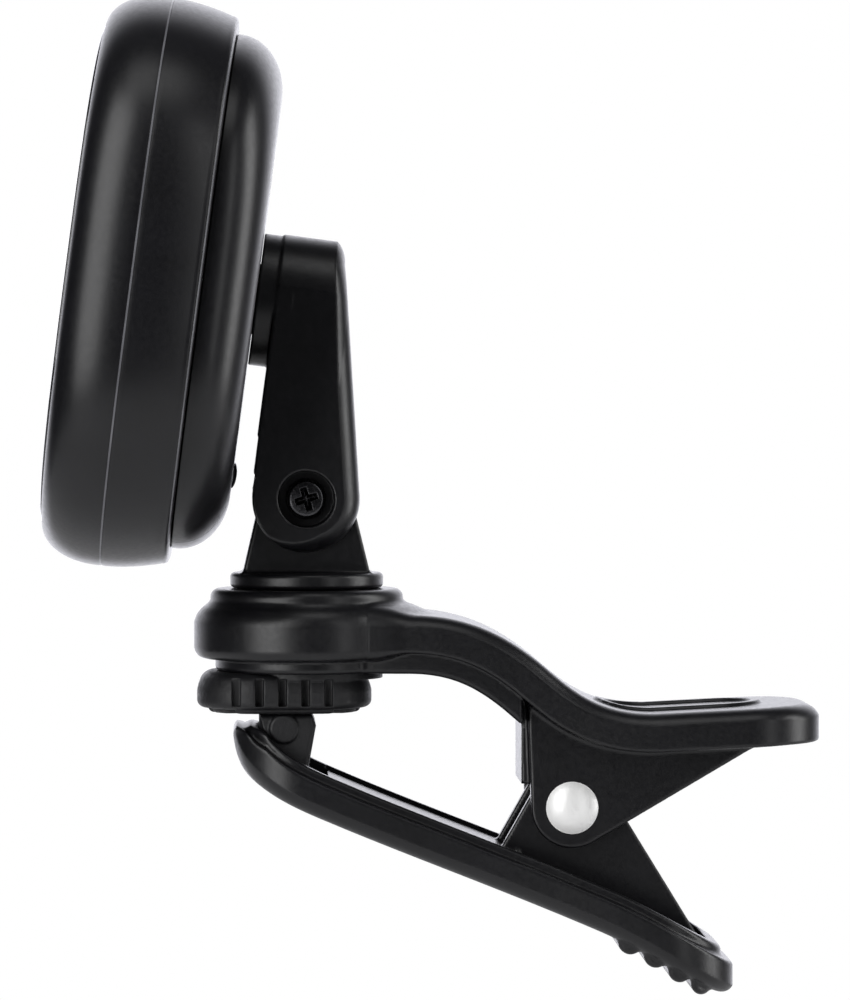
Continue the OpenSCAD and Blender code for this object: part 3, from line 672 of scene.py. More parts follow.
def inward(profile, by):
    """The same profile moved into the wall, square to its own line."""
    along = np.gradient(profile, axis=0)
    along /= np.linalg.norm(along, axis=1, keepdims=True)
    moved = profile + by * np.stack([-along[:, 1], along[:, 0]], 1)
    moved[:, 0] = np.minimum(moved[:, 0], -by)
    moved[:2, 0] = profile[:2, 0]
    return moved


def below(y, inset):
    """The outline's lower side at y: u = -b (1 - (|y|/a)^n)^(1/n)."""
    a, b = HEAD_Y - inset, HEAD_U - inset
    return -b * (1 - (np.abs(y) / a) ** HEAD_POWER) ** (1 / HEAD_POWER)


def cover_band(profile, columns=240):
    """The back cover's edge from one side of the battery door, over the top, to the other side."""
    x, inset = profile[:, :1], profile[:, 1:]
    y0 = DOOR_Y + GAP
    first = np.arctan2(below(y0, inset), y0)
    turn = first + np.linspace(0, 1, columns)[None, :] * (np.pi - 2 * first)
    r = head_radius(turn, inset)
    return np.stack([np.broadcast_to(x, r.shape), r * np.cos(turn), r * np.sin(turn)], -1)


def back_cover():
    """The cover's edge and flat back as one open sheet, doubled into a wall, with holes and screw seats."""
    top = DOOR_TOP + GAP
    y0 = DOOR_Y + GAP
    ring = arc((0, 0), 3.25, 0, 360, 49)[:-1]
    holes = [ring] + [ring * (1.95 / 3.25) + (a * SCREW_Y, b * SCREW_U) for a in (-1, 1) for b in (-1, 1)]
    sheets = []
    for profile in (cover_profile(), inward(cover_profile(), 1.3)):
        band = cover_band(profile)
        level = band[-1, 0, 0]
        corners = np.array([[level, -y0, top], [level, y0, top]])
        pits = [np.column_stack([np.full(len(h), level), h]) for h in holes]
        sheets.append(np.concatenate([band.reshape(-1, 3), corners, *pits]))
    rows, columns = band.shape[:2]
    edge = np.arange((rows - 1) * columns, rows * columns)
    outline = np.concatenate([edge, [rows * columns, rows * columns + 1]])
    order = [outline]
    start = rows * columns + 2
    for hole in holes:
        order.append(np.arange(start, start + len(hole)))
        start += len(hole)
    flat = filled([sheets[0][loop][:, 1:] for loop in order])
    lookup = np.concatenate(order)
    faces = [grid_faces(rows, columns), lookup[flat]]
    # both sets of faces must turn the same way round +X
    strip = faces[0]
    p = sheets[0]
    tilt = np.cross(p[strip[:, 1]] - p[strip[:, 0]], p[strip[:, 2]] - p[strip[:, 0]])[:, 0].sum()
    if tilt < 0:
        faces[0] = strip[:, ::-1]
    wall = thickened(sheets[0], faces, sheets[1])
    # seats at the bottom of the screw holes
    seat = along_x(lathe([[0.95, -1.45], [2.1, -1.45], [2.1, -0.97], [0.95, -0.97]], 48)[0])
    seat_faces = lathe([[0.95, 0], [2.1, 0], [2.1, 1], [0.95, 1]], 48)[1]
    seats = [(seat + (0, a * SCREW_Y, b * SCREW_U), seat_faces) for a in (-1, 1) for b in (-1, 1)]
    points, faces = merged(*((p, outward(p, f)) for p, f in (wall, *seats)))
    made("back_cover_shell", lean_back(points), faces, HEAD_SATIN, "head", ["back_cover"],
         28)


def battery_door():
    """The part of the cover between two side lines and below a top line, with a low rest for the thumb."""
    profile = cover_profile()
    y = np.linspace(-DOOR_Y, DOOR_Y, 61)[None, :]
    rise = np.linspace(0, 1, 8)[1:, None]
    sheets = []
    for line in (profile, inward(profile, 1.3)):
        x, inset = line[:, :1], line[:, 1:]
        u = below(y, inset)
        flat_u = u[-1] + rise * (DOOR_TOP - u[-1])
        u = np.concatenate([u, flat_u])
        x = np.concatenate([x, np.full((len(rise), 1), line[-1, 0])])
        sheets.append(np.stack([np.broadcast_to(x, u.shape), np.broadcast_to(y, u.shape), u], -1))
    rows, columns = sheets[0].shape[:2]
    faces = grid_faces(rows, columns)
    p = sheets[0].reshape(-1, 3)
    tilt = np.cross(p[faces[:, 1]] - p[faces[:, 0]], p[faces[:, 2]] - p[faces[:, 0]])[:, 0].sum()
    if tilt < 0:
        faces = faces[:, ::-1]
    wall = thickened(p, [faces], sheets[1].reshape(-1, 3))
    wall = (wall[0], outward(*wall))
    points, faces = merged(wall, mound(5.0, 1.15, 0.36, -16.1))
    made("battery_door_shell", lean_back(points), faces, HEAD_SATIN, "door", ["battery_door"],
         28)


def mound(half_length, half_width, height, u, base=-0.1):
    """A long low ridge across the back: a half ellipse in section, with round ends."""
    t = np.linspace(0, 2 * np.pi, 48, endpoint=False)
    dip = np.linspace(0, np.pi / 2, 7)[:, None]
    spread = np.cos(dip)
    middle = (half_length - half_width) * np.sign(np.cos(t))[None, :]
    y = middle + half_width * spread * np.cos(t)[None, :]
    v = u + half_width * spread * np.sin(t)[None, :]
    x = np.broadcast_to(height * np.sin(dip), y.shape)
    foot = np.stack([np.full(y.shape[1], base), y[0], v[0]], -1)[None]
    rings = np.concatenate([foot, np.stack([x, y, v], -1)])
    points = rings.reshape(-1, 3)
    faces = [grid_faces(len(rings), len(t), False, True), np.arange(len(t))[None, ::-1],
             (len(points) - len(t) + np.arange(len(t)))[None, :]]
    return points, outward(points, faces)


def pill_loop(half_length, radius, centre, count=24):
    """A flat outline with round ends, as (y, u) points."""
    middle = half_length - radius
    ends = [arc((middle, 0), radius, -90, 90, count), arc((-middle, 0), radius, 90, 270, count)]
    return np.concatenate(ends) + centre


BUTTON_OUTLINES = [
    ("power", pill_loop, (5.6, 2.25), (0.0, POWER_U)),
    ("pitch_down", pill_loop, (2.35, 2.349), (-SIDE_BUTTON[0], SIDE_BUTTON[1])),
    ("pitch_up", pill_loop, (2.35, 2.349), SIDE_BUTTON),
]


def lens():
    """A flat plate inside the head's outline, with a small round at its edge and three button holes."""
    edge = np.array([[LENS_T, 0], [0.16, 0], [0.08, 0.03], [0.02, 0.1], [0, 0.22]]) + (LENS_X, LENS_INSET)
    rings = head_rings(edge)
    rows, columns = rings.shape[:2]
    holes = [loop(h[0] + 0.12, h[1] + 0.12, c) for _, loop, h, c in BUTTON_OUTLINES]
    last = rings[-1][:, 1:]
    flat = filled([last, *holes])
    pits = np.concatenate(holes)
    front = np.column_stack([np.full(len(pits), LENS_X), pits])
    outer = np.concatenate([rings.reshape(-1, 3), front])
    lookup = np.arange(len(last) + len(pits)) + (rows - 1) * columns
    count = len(outer)
    back_points = np.concatenate([rings[0], np.column_stack([np.full(len(pits), LENS_X + LENS_T), pits])])
    points = np.concatenate([outer, back_points])
    side = grid_faces(rows, columns, False, True)
    top = lookup[flat][:, ::-1]
    p = points
    normal_x = np.cross(p[top[:, 1]] - p[top[:, 0]], p[top[:, 2]] - p[top[:, 0]])[:, 0].sum()
    if normal_x > 0:
        top = top[:, ::-1]
    mean = p[side].mean(1)
    face = np.cross(p[side[:, 1]] - p[side[:, 0]], p[side[:, 2]] - p[side[:, 0]])
    if (face[:, 1] * mean[:, 1] + face[:, 2] * mean[:, 2]).sum() < 0:
        side = side[:, ::-1]
    under = np.concatenate([np.arange(columns), columns + np.arange(len(pits))])[flat] + count
    normal_x = np.cross(p[under[:, 1]] - p[under[:, 0]], p[under[:, 2]] - p[under[:, 0]])[:, 0].sum()
    if normal_x < 0:
        under = under[:, ::-1]
    seam = np.stack([np.arange(columns), np.roll(np.arange(columns), -1),
                     count + np.roll(np.arange(columns), -1), count + np.arange(columns)], 1)
    walls = []
    start = 0
    for hole in holes:
        k = np.arange(start, start + len(hole))
        k2 = np.roll(k, -1)
        near, far = rows * columns, count + columns
        walls.append(np.stack([near + k, near + k2, far + k2, far + k], 1))
        start += len(hole)
    walls = np.concatenate(walls)
    middle = np.repeat(np.array([np.mean(h, 0) for h in holes]), [len(h) for h in holes], 0)
    mean = p[walls].mean(1)[:, 1:] - middle
    face = np.cross(p[walls[:, 1]] - p[walls[:, 0]], p[walls[:, 2]] - p[walls[:, 0]])[:, 1:]
    if (face * mean).sum() > 0:
        walls = walls[:, ::-1]
    made("lens_window", lean_back(points), [side, top, under, walls], lens_finish(), "head", ["lens"],
         30)


def math_node(tree, kind, a, b=0.0, clamp=False):
    """A math node on two inputs, each a number or another node's output."""
    node = tree.nodes.new("ShaderNodeMath")
    node.operation = kind
    node.use_clamp = clamp
    for socket, value in zip(node.inputs, (a, b)):
        if isinstance(value, (int, float)):
            socket.default_value = value
        else:
            tree.links.new(value, socket)
    return node.outputs[0]


def within(tree, value, low, high):
    """1 where the value lies between low and high, and 0 elsewhere."""
    return math_node(tree, "MULTIPLY", math_node(tree, "GREATER_THAN", value, low),
                     math_node(tree, "LESS_THAN", value, high))


def lens_finish():
    """Gloss black window: a faint panel behind it, an arc of ticks under a line, and a centre mark."""
    material, tree, shader = nodes_of("smoked_window")
    place_at = tree.nodes.new("ShaderNodeTexCoord").outputs["Object"]
    split = tree.nodes.new("ShaderNodeSeparateXYZ")
    tree.links.new(place_at, split.inputs[0])
    y = math_node(tree, "MULTIPLY", split.outputs["Y"], 1000.0)
    along = math_node(tree, "MULTIPLY", split.outputs["X"], 1000.0 * S_LEAN)
    up = math_node(tree, "MULTIPLY", split.outputs["Z"], 1000.0 * C_LEAN)
    u = math_node(tree, "SUBTRACT", math_node(tree, "ADD", along, up), HEAD[0] * S_LEAN + HEAD[2] * C_LEAN)
    # the scale's circle has its centre at u = -9
    rise = math_node(tree, "ADD", u, 9.0)
    radius = math_node(tree, "SQRT", math_node(tree, "ADD", math_node(tree, "MULTIPLY", y, y),
                                               math_node(tree, "MULTIPLY", rise, rise)))
    turn = math_node(tree, "MULTIPLY", math_node(tree, "ARCTAN2", y, rise), 180 / np.pi)
    wrap = tree.nodes.new("ShaderNodeMath")
    wrap.operation = "WRAP"
    tree.links.new(turn, wrap.inputs[0])
    wrap.inputs[1].default_value, wrap.inputs[2].default_value = 2.5, -2.5
    step = math_node(tree, "ABSOLUTE", wrap.outputs[0])
    ticks = math_node(tree, "MULTIPLY", within(tree, step, -1, 0.42), within(tree, radius, 19.6, 21.6))
    ticks = math_node(tree, "MULTIPLY", ticks, within(tree, turn, -46, 46))
    centre = math_node(tree, "MULTIPLY", within(tree, math_node(tree, "ABSOLUTE", turn), -1, 1.1),
                       within(tree, radius, 17.6, 21.6))
    line = math_node(tree, "MULTIPLY", within(tree, radius, 22.3, 22.6), within(tree, turn, -46, 46))
    marks = math_node(tree, "MAXIMUM", math_node(tree, "MAXIMUM", ticks, centre), line)
    panel = math_node(tree, "MULTIPLY", within(tree, y, -18.5, 18.5), within(tree, u, -8.5, 15.5))
    broad = noise(tree, 200, 3)
    colour = tint(tree, ramp(tree, broad.outputs["Fac"], 0, 1), (0.004, 0.004, 0.005),
                  (0.006, 0.006, 0.007))
    prints = ((panel, (0.012, 0.015, 0.0145)), (marks, (0.42, 0.44, 0.45)), (centre, (0.08, 0.5, 0.2)))
    for mask, shade in prints:
        mix = tree.nodes.new("ShaderNodeMix")
        mix.data_type = "RGBA"
        tree.links.new(mask, mix.inputs["Factor"])
        tree.links.new(colour, mix.inputs[6])
        mix.inputs[7].default_value = (*shade, 1)
        colour = mix.outputs[2]
    tree.links.new(colour, shader.inputs["Base Color"])
    tree.links.new(ramp(tree, noise(tree, 1500, 3).outputs["Fac"], 0.05, 0.09), shader.inputs["Roughness"])
    shader.inputs["Coat Weight"].default_value = 0.6
    tree.links.new(bump(tree, [(noise(tree, 90, 2).outputs["Fac"], 0.0001, 0.03)]), shader.inputs["Normal"])
    return material


def button(name, half_length, radius, centre):
    """A rubber button: its outline drawn in along a profile that rounds its edge and crowns its face."""
    profile = [(1.75, -0.7), (1.15, -0.7), (1.15, 0), (0.16, 0), (0.05, 0.04), (0, 0.16), (-0.05, 0.6),
               (-0.07, 1.4)]
    rings = []
    for x, inset in profile:
        # a round button keeps a trace of straight side, so that no two of its points meet
        bend = radius - inset if half_length > radius + 0.01 else radius - inset - 0.001
        loop = pill_loop(half_length - inset, bend, centre)
        rings.append(np.column_stack([np.full(len(loop), LENS_X + x), loop]))
    rings = np.array(rings)
    rows, columns = rings.shape[:2]
    points = rings.reshape(-1, 3)
    faces = [grid_faces(rows, columns, False, True), np.arange(columns)[None, ::-1],
             ((rows - 1) * columns + np.arange(columns))[None, :]]
    stem_r, stem_from, stem_to = 1.2, LENS_X + 1.7, LENS_X + 2.9
    stem, stem_faces = lathe([[0, stem_from], [stem_r, stem_from], [stem_r, stem_to], [0, stem_to]], 32)
    stem = along_x(stem) + np.array([0, *centre])
    points, faces = merged((points, outward(points, faces)), (stem, outward(stem, stem_faces)))
    made(name + "_button_cap", lean_back(points), faces, BUTTON, name, [name + "_button"],
         30)


front_bezel()
middle_housing()
back_cover()
battery_door()
lens()
for button_name, _, size, spot in BUTTON_OUTLINES:
    button(button_name, *size, spot)


# ---- Clip ----

UPPER_LINE = np.concatenate([
    [[-12, JAW_TOP]],
    bezier((9, JAW_TOP), (14, JAW_TOP), (17.5, 7.4), (21.1, 4.4), 50),
    bezier((21.1, 4.4), (24, 1.9), (26.2, 0.1), (31, 0.1), 50)[1:],
    [[43, 0.7], [52, 0.9]],
])
LOWER_LINE = np.concatenate([
    bezier((-7.7, -1.2), (-7.4, -5.4), (-2.8, -7.7), (2, -9.7), 50),
    bezier((2, -9.7), (8.5, -12.5), (18, -16), (26, -19.4), 50)[1:],
    bezier((26, -19.4), (30, -21.1), (34, -23.8), (38.8, -26.3), 40)[1:],
    [[44, -29.0]],
])


def upper_outline():
    """The upper jaw's plan: a round mouth, a waist and a broad handle end, as (x, y) points."""
    half = np.concatenate([
        bezier((5.2, -7.9), (9.5, -8.6), (16, -8.3), (24, -8.9), 40),
        bezier((24, -8.9), (30, -9.4), (34, -9.6), (39.6, -9.6), 24)[1:],
        arc((39.6, -2.8), 6.8, -88, 0, 50),
    ])
    return np.concatenate([half, half[::-1] * (1, -1), arc((0, 0), BOSS_R, 57, 303, 150)])


def lower_outline():
    """The lower jaw's plan: a blunt tip, a waist and a broad handle end."""
    half = np.concatenate([
        arc((-0.6, -2), 6.6, 200, 270, 40),
        bezier((-0.6, -8.6), (8, -8.4), (14, -8.2), (22, -8.8), 36)[1:],
        bezier((22, -8.8), (26, -9.2), (29, -9.5), (31.8, -9.5), 20)[1:],
        arc((31.8, -2.7), 6.8, -88, 0, 50),
    ])
    return np.concatenate([half, half[::-1] * (1, -1)])


def ear_outline(first, first_angle, last, last_angle):
    """A round eye about the pivot with straight edges that run off it to two corners."""
    eye = arc(PIVOT[[0, 2]], EYE_R, first_angle, last_angle, 90)
    return np.concatenate([[first], eye, [last]])


def plane_of(kind, line, low, high):
    """A table of the distance to an outline or to an open line."""
    return tabled(lambda a, b: kind(a, b, line), low, high)


upper_top = plane_of(line_field, UPPER_LINE, (-12, -14), (50, 13))
upper_plan = plane_of(polygon_field, upper_outline(), (-12, 0), (50, 12))
upper_ear = plane_of(polygon_field, ear_outline((19.6, 6.0), 182, (42.5, -1.75), 300.7), (-12, -14), (50, 13))
lower_rise = plane_of(line_field, LOWER_LINE, (-10, -30), (42, 2))
lower_plan = plane_of(polygon_field, lower_outline(), (-10, 0), (42, 12))
lower_ear = plane_of(polygon_field, ear_outline((37.6, -24.0), 34, (15.0, -16.6), 147), (-10, -30), (42, 2))


def upper_jaw_field(x, y, z):
    """The flange under its curved top line, with the boss, lip, ears, web, hollows and thumb ring."""
    side = np.abs(y)
    top = upper_top(x, z)
    plan = upper_plan(x, side)
    # the top's broad round meets the side at a crease
    flange = both(both(both(top, plan - 0.18, 1.9), plan), -top - FLANGE_T, 0.3)
    r = np.hypot(x, y)
    cask = both(both(r - 9.5, z - 9.35, 1.35), PLATE_Z - z, 0.3)
    ring = both(r - 8.75, slab_field(z, 7.0, BOSS_TOP), 0.8)
    solid = either(flange, cask, 2.6)
    solid = either(solid, ring, 0.55)
    # the lip set in under the front of the flange
    lip = both(both(-top - FLANGE_T - LIP_DEPTH, plan + LIP_IN, 0.45), top + 1.2)
    lip = both(lip, x - WEB_X[0], 0.4)
    solid = either(solid, lip, 0.15)
    hollow = both(both(top + FLANGE_T, plan + HOLLOW_IN, 0.4), x - WEB_X[0] + 1.1, 0.6)
    solid = less(solid, both(hollow, z - PLATE_Z), 0.2)
    under = both(both(top + FLANGE_T - 1.2, plan + 2.2, 0.6), side - EAR_Y[0])
    solid = less(solid, both(under, 27.5 - x, 0.6), 0.25)
    ear = both(both(upper_ear(x, z), slab_field(side, *EAR_Y), 0.25), top + 1.0)
    solid = either(solid, ear, 0.5)
    web = both(both(slab_field(x, *WEB_X), slab_field(z, -6.4, 4.5)), side - EAR_Y[0] - 0.3)
    solid = either(solid, web, 0.3)
    solid = less(solid, rod_field(x, z, PIVOT[[0, 2]], RIVET_R))
    solid = less(solid, r - 3.05)
    thumb = np.hypot(np.maximum(np.abs(x - np.mean(THUMB_X)) - np.ptp(THUMB_X) / 2, 0), y) - THUMB_R
    return either(solid, both(np.abs(thumb) - 0.5, np.abs(top) - 0.3, 0.25), 0.2)


def lower_thickness(x):
    """The lower jaw's wall is thin at its tip and thickens towards the middle."""
    return np.clip(1.4 + 0.42 * (x + 7.5), 1.4, 3.0)


def lower_jaw_field(x, y, z):
    """The tray under its rim, nearly full between pad and ears, with its two ears and four grip ribs."""
    side = np.abs(y)
    rise, plan, thick = lower_rise(x, z), lower_plan(x, side), lower_thickness(x)
    flange = both(both(both(-rise, plan - 0.18, 2.0), plan), rise - thick, 0.25)
    rim = both(both(rise - thick - RIM_H, plan + RIM_IN, 0.35), 1 - rise)
    solid = both(either(flange, rim, 0.3), z + 1.1, 0.9)
    deck = slab_field(x, *DECK_X)
    hollow = less(both(plan + HOLLOW_IN, thick - TRAY_DEPTH - rise, 0.5), deck, 0.2)
    shallow = both(both(plan + HOLLOW_IN - 0.3, thick + DECK_RISE - rise, 0.3), deck)
    solid = less(less(solid, hollow, 0.2), shallow, 0.2)
    ear = both(both(lower_ear(x, z), slab_field(side, *LOW_EAR_Y), 0.25), 1.0 - rise)
    solid = either(solid, ear, 0.4)
    solid = either(solid, grip_ribs(x, y, z, plan, rise), 0.3)
    return less(solid, rod_field(x, z, PIVOT[[0, 2]], RIVET_R + 0.05))


RIBS = [(28.9, -20.4), (31.2, -21.6), (33.4, -22.95), (35.5, -24.2)]


def grip_ribs(x, y, z, plan, rise):
    """Round bars across the handle that stand out of its underside."""
    bars = np.minimum.reduce([rod_field(x, z, spot, 1.1) for spot in RIBS])
    return both(both(bars, plan + RIM_IN, 0.5), rise - 0.4)


PAD_X = -2.05
PAD_SLOTS = PAD_X - 0.2 + 2.07 * np.arange(-2, 3)


def upper_pad_field(x, y, z):
    """A rounded block, five upright slots in each side and ribs along its gripping face."""
    dx, dy = np.abs(x - PAD_X) - (7.9 - 5.4), np.abs(y) - (7.0 - 5.4)
    plan = np.hypot(np.maximum(dx, 0), np.maximum(dy, 0)) + np.minimum(np.maximum(dx, dy), 0) - 5.4
    inset = 0.3 * np.maximum(z - 1.9, 0) ** 1.5
    body = both(plan + inset, slab_field(z, 0.42, LIP_Z), 0.7)
    plug = both(np.hypot(x, y) - 6.9, slab_field(z, 3.0, PLATE_Z))
    body = np.minimum(body, both(plug, 4.95 - np.hypot(x, y)))
    near = np.min(np.stack([np.abs(x - s) for s in PAD_SLOTS]), 0)
    slots = both(both(near - 0.37, slab_field(z, 0.75, 3.15), 0.1), 6.0 - np.abs(y), 0.1)
    body = less(body, slots, 0.12)
    wave = np.abs((y + 1) % 2 - 1) - 0.72
    ribs = both(both(wave, slab_field(z, 0.0, 1.0), 0.15), plan + 1.0, 0.45)
    return either(body, ribs, 0.1)


def lower_pad_field(x, y, z):
    """A block with a half-round boss at each side, shaped underneath to the tray."""
    corners = np.array([[-5.3, -6.5], [-5.3, -0.14], [0.45, -0.14], [0.78, -1.1], [-0.4, -7.6]])
    block = both(polygon_field(x, z, corners), np.abs(y) - 5.2, 0.45)
    boss = both(rod_field(x, z, (-2.1, -1.35), 1.35), np.abs(y) - 5.5, 0.3)
    pad = either(block, both(boss, z + 0.14, 0.1), 0.15)
    rise, plan, thick = lower_rise(x, z), lower_plan(x, np.abs(y)), lower_thickness(x)
    floor = thick - TRAY_DEPTH - rise
    return both(both(pad, floor), np.minimum(both(plan + 2.45, floor), thick + 0.82 - rise))


field_piece("upper_jaw_moulding", upper_jaw_field, (-10.5, -10.6, -13), (47.5, 10.6, 12), 0.2, SATIN, "clip",
            ["upper_jaw"])
field_piece("lower_jaw_moulding", lower_jaw_field, (-8.5, -10.4, -28.5), (40.0, 10.4, 0.6), 0.2, SATIN, "jaw",
            ["lower_jaw"])
field_piece("upper_pad_rubber", upper_pad_field, (-11, -7.6, -0.6), (7, 7.6, 6.6), 0.12, RUBBER, "clip",
            ["upper_pad"])
field_piece("lower_pad_rubber", lower_pad_field, (-6.6, -6.6, -9), (2, 6.6, 0.6), 0.12, RUBBER, "jaw",
            ["lower_pad"])


def rivet():
    """A shank with two domed heads: the dome is a slice of a ball."""
    head_r, rise, base = 2.35, 0.95, EAR_Y[1]
    ball = (head_r**2 + rise**2) / (2 * rise)
    slope = np.linspace(0, np.arcsin(head_r / ball), 16)
    dome = np.stack([ball * np.sin(slope), base + rise - ball * (1 - np.cos(slope))], 1)
    right = np.concatenate([dome, [[head_r, base + 0.02], [1.5, base]]])
    profile = np.concatenate([right, right[::-1] * (1, -1)])
    points, faces = lathe(profile, 96)
    x, y, z = points.T
    points = np.stack([x, z, y], 1) + PIVOT
    # its finish paints the reflection of the white surroundings in as near-white colour
    made("hinge_rivet_painted_reflection", points, faces, RIVET_PAINTED_REFLECTION, "clip", ["hinge_rivet"], 40)


rivet()


# ---- Turntable and arm ----


def swivel_field(x, y, z):
    """A thin disc, a tapering lug with a round eye on it, and a spindle below it."""
    r = np.hypot(x, y)
    disc = both(r - DISC_R, slab_field(z, DISC_Z, DISC_Z + DISC_T), 0.42)
    top = DISC_Z + DISC_T
    eye = arc(TILT[[0, 2]], 4.4, -10, 190, 30)
    flank = np.concatenate([[[-5.9, top - 0.4]], [[5.8, top - 0.4]], eye])
    lug = both(polygon_field(x, z, flank), np.abs(y) - LUG_Y, 0.3)
    body = either(disc, lug, 0.35)
    spindle = both(r - 3, slab_field(z, PLATE_Z - 0.1, DISC_Z + 0.5))
    body = np.minimum(body, spindle)
    return less(less(body, rod_field(x, z, TILT[[0, 2]], 1.05)), both(r - 1, slab_field(z, -1, 13.2)))


field_piece("swivel_base_moulding", swivel_field, (-7.4, -7.4, 5), (7.4, 7.4, 24.4), 0.17, SATIN, "turntable",
            ["swivel_base"])

EYE_X = (TILT[0] - HEAD[0]) * C_LEAN - (TILT[2] - HEAD[2]) * S_LEAN
EYE_U = (TILT[0] - HEAD[0]) * S_LEAN + (TILT[2] - HEAD[2]) * C_LEAN
ARM_FRONT = 1.75


ARM_BACK = np.concatenate([arc((EYE_X, EYE_U), ARM_EYE_R, -178, 11, 120), [[7.62, 4.0], [7.45, 12.0]]])
arm_back = plane_of(line_field, ARM_BACK, (-3, -24), (13, 8))


def arm_field(x, y, u):
    """The arm in the head's frame: a leaning back, flat sides, a round top, a round eye and two ears."""
    tomb = np.where(u > 0, np.maximum(np.hypot(y, u) - 6.15, np.abs(y) - ARM_R), np.abs(y) - ARM_R)
    # the line runs up the arm's back, so its outside is on the right
    back = -arm_back(x, u)
    front = ARM_FRONT - x
    # the back's broad round meets the flat side at a crease, and fades out round the eye
    fade = np.clip((x - EYE_X + 3.4) / 5.0, 0.1, 1)
    body = both(both(back, tomb - 0.32 * fade, 2.7 * fade), tomb)
    body = both(body, front, 0.2)
    hub = both(np.hypot(y, u) - ARM_R, slab_field(x, 0.06, ARM_FRONT + 1.6), 0.15)
    body = either(body, hub, 0.12)
    # channel for the lug, open to the front and below, and at the back round the eye
    channel = both(both(np.abs(y) - 3.7, u + 7.2, 0.5), x - (7.1 + 0.04 * (-7.2 - u)), 0.4)
    fold = both(both(np.abs(y) - 3.7, u - EYE_U - 6.4, 0.5), EYE_X - x)
    body = less(body, np.minimum(channel, fold), 0.2)
    pin = np.hypot(x - EYE_X, u - EYE_U)
    body = less(body, pin - 1.05)
    body = less(body, both(pin - 2.55, y + 4.6), 0.12)
    # the counterbore is deeper round the screw's head
    body = less(body, both(both(pin - 2.55, 1.75 - pin), y + 3.95))
    hexagon = np.max(np.stack([np.abs((x - EYE_X) * np.cos(a) + (u - EYE_U) * np.sin(a))
                               for a in np.radians((30, 90, 150))]), 0) - 1.85
    body = less(body, both(hexagon, 4.5 - y), 0.1)
    spindle = both(np.hypot(y, u) - 3.2, slab_field(x, -1.6, 0.3))
    return less(np.minimum(body, spindle), both(np.hypot(y, u) - 1, x - 5))


field_piece("tilt_arm_moulding", arm_field, (-2.2, -6.5, EYE_U - 5.6), (12.4, 6.5, 6.6), 0.15, SATIN, "arm",
            ["tilt_arm"], lean=True)


def screw_field(head_r, head_t, shank_r, length):
    """A pan-head screw along -Z with a cross recess: four tapering slots."""
    def field(x, y, z):
        r = np.hypot(x, y)
        dome = z - head_t + 0.16 * (r / head_r) ** 2 * head_t
        head = both(both(r - head_r, dome, 0.3), -z, 0.05)
        shank = both(r - shank_r, slab_field(z, -length, 0.2))
        body = np.minimum(head, shank)
        depth = z - head_t
        width = 0.2 * head_r + 0.35 * depth
        reach = 0.66 * head_r + 0.5 * depth
        arms = [both(both(np.abs(a) - width, np.abs(b) - reach, 0.05), -depth - 0.8 * head_t)
                for a, b in ((x, y), (y, x))]
        return less(body, np.minimum(*arms), 0.05)
    return field


def tilt_screw():
    """The cross-head screw laid along Y in the arm's eye, with its cross turned a little."""
    points, faces, normals = skin(screw_field(1.68, 1.0, 1.0, 10.2), (-1.9, -1.9, -10.5), (1.9, 1.9, 1.3),
                                  0.07)
    turn = np.radians(24)
    spin = np.array([[np.cos(turn), -np.sin(turn), 0], [np.sin(turn), np.cos(turn), 0], [0, 0, 1]])
    lay = np.array([[1, 0, 0], [0, 0, -1], [0, 1, 0]])
    place_at = np.array([EYE_X, -ARM_R + 1.4, EYE_U])
    points = points @ (lay @ spin).T + place_at
    normals = normals @ (lay @ spin).T
    made("tilt_screw_cross_head", lean_back(points), faces, BLACK_ZINC, "arm", ["tilt_screw"],
         normals=lean_back(normals) - np.array([HEAD[0], 0, HEAD[2]]))


tilt_screw()


# ---- Studio ----


ROOM = 0.045
BACKDROP = 2.6


def soft_box(name, azimuth, elevation, distance, size, radiance):
    """A soft box round the object: its azimuth is measured from the camera's side towards +X."""
    a, e = np.radians(azimuth), np.radians(elevation)
    at = distance * np.array([np.sin(a) * np.cos(e), -np.cos(a) * np.cos(e), np.sin(e)]) + (0.01, 0, 0.02)
    return area_light(name, at.tolist(), (0.01, 0, 0.02), size, radiance * np.pi * size[0] * size[1])


def area_light(name, at, to, size, power):
    """A soft rectangular light at a place, facing another."""
    data = bpy.data.lights.new(name, "AREA")
    data.shape = "RECTANGLE"
    data.size, data.size_y = size
    data.energy = power
    light = bpy.data.objects.new(name, data)
    bpy.context.scene.collection.objects.link(light)
    light.location = at
    light.rotation_mode = "QUATERNION"
    light.rotation_quaternion = (Vector(to) - Vector(at)).to_track_quat("-Z", "Y")
    return light


def floor():
    """A plain pale disc below the object."""
    r, z, turns = 0.26, -0.072, 128
    t = np.linspace(0, 2 * np.pi, turns, endpoint=False)
    ring = np.stack([0.012 + r * np.cos(t), r * np.sin(t), np.full(turns, z)], 1)
    mesh = bpy.data.meshes.new("floor")
    mesh.from_pydata(ring.tolist(), [], [list(range(turns))])
    mesh.materials.append(finish("pale_floor", (0.86, 0.86, 0.86), (0.89, 0.89, 0.89), (0.6, 0.7), []))
    disc = bpy.data.objects.new("floor", mesh)
    bpy.context.scene.collection.objects.link(disc)


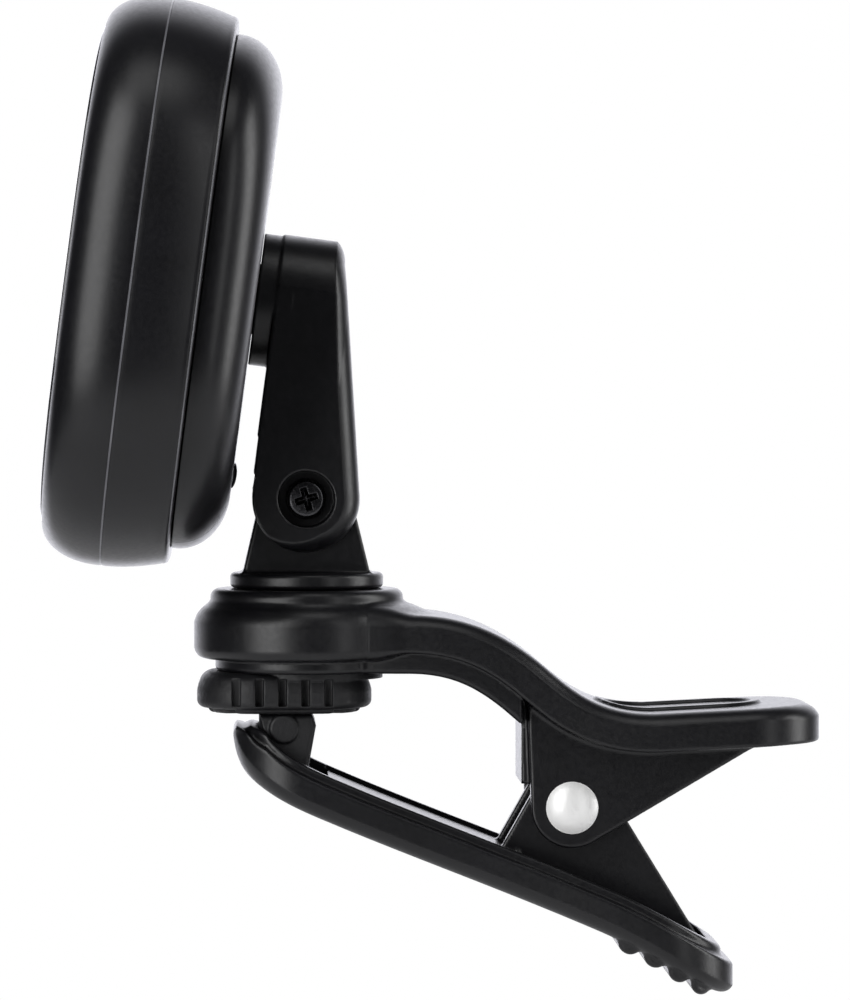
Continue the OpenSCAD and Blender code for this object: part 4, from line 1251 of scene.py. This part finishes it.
def world():
    """White behind the object; for reflections, a dim room with a paler backdrop behind the object."""
    scene = bpy.context.scene
    scene.world = bpy.data.worlds.new("studio")
    scene.world.use_nodes = True
    tree = scene.world.node_tree
    tree.nodes.clear()
    out = tree.nodes.new("ShaderNodeOutputWorld")
    seen, room = tree.nodes.new("ShaderNodeBackground"), tree.nodes.new("ShaderNodeBackground")
    seen.inputs["Color"].default_value = (1, 1, 1, 1)
    room.inputs["Color"].default_value = (0.93, 0.93, 1.0, 1)
    way, split = tree.nodes.new("ShaderNodeTexCoord"), tree.nodes.new("ShaderNodeSeparateXYZ")
    tree.links.new(way.outputs["Generated"], split.inputs["Vector"])
    tree.links.new(ramp(tree, split.outputs["Y"], ROOM, BACKDROP, 0.6, 1.0), room.inputs["Strength"])
    mix, path = tree.nodes.new("ShaderNodeMixShader"), tree.nodes.new("ShaderNodeLightPath")
    tree.links.new(path.outputs["Is Camera Ray"], mix.inputs["Fac"])
    tree.links.new(room.outputs[0], mix.inputs[1])
    tree.links.new(seen.outputs[0], mix.inputs[2])
    tree.links.new(mix.outputs[0], out.inputs["Surface"])


def camera():
    """A long lens 0.42 m in front of the clip, a little to its left and level with the head's lower half."""
    data = bpy.data.cameras.new("camera")
    data.lens = 165.5
    data.clip_start, data.clip_end = 0.01, 20
    eye = bpy.data.objects.new("camera", data)
    bpy.context.scene.collection.objects.link(eye)
    eye.location = (-0.00514, -0.418, 0.0282)
    aim = Vector((0.01077, 0, 0.01909))
    eye.rotation_mode = "QUATERNION"
    eye.rotation_quaternion = (aim - eye.location).to_track_quat("-Z", "Y")
    bpy.context.scene.camera = eye


camera()
world()
floor()
soft_box("left_box", -40, 20, 0.75, (0.46, 1.1), 3.5)
soft_box("right_box", 38, 14, 0.75, (0.14, 0.9), 1.9)
soft_box("side_box", 86, 12, 0.75, (0.3, 0.9), 4.2)
soft_box("top_box", 0, 72, 0.7, (0.5, 0.3), 1.3)
bpy.context.scene.view_settings.view_transform = "Standard"
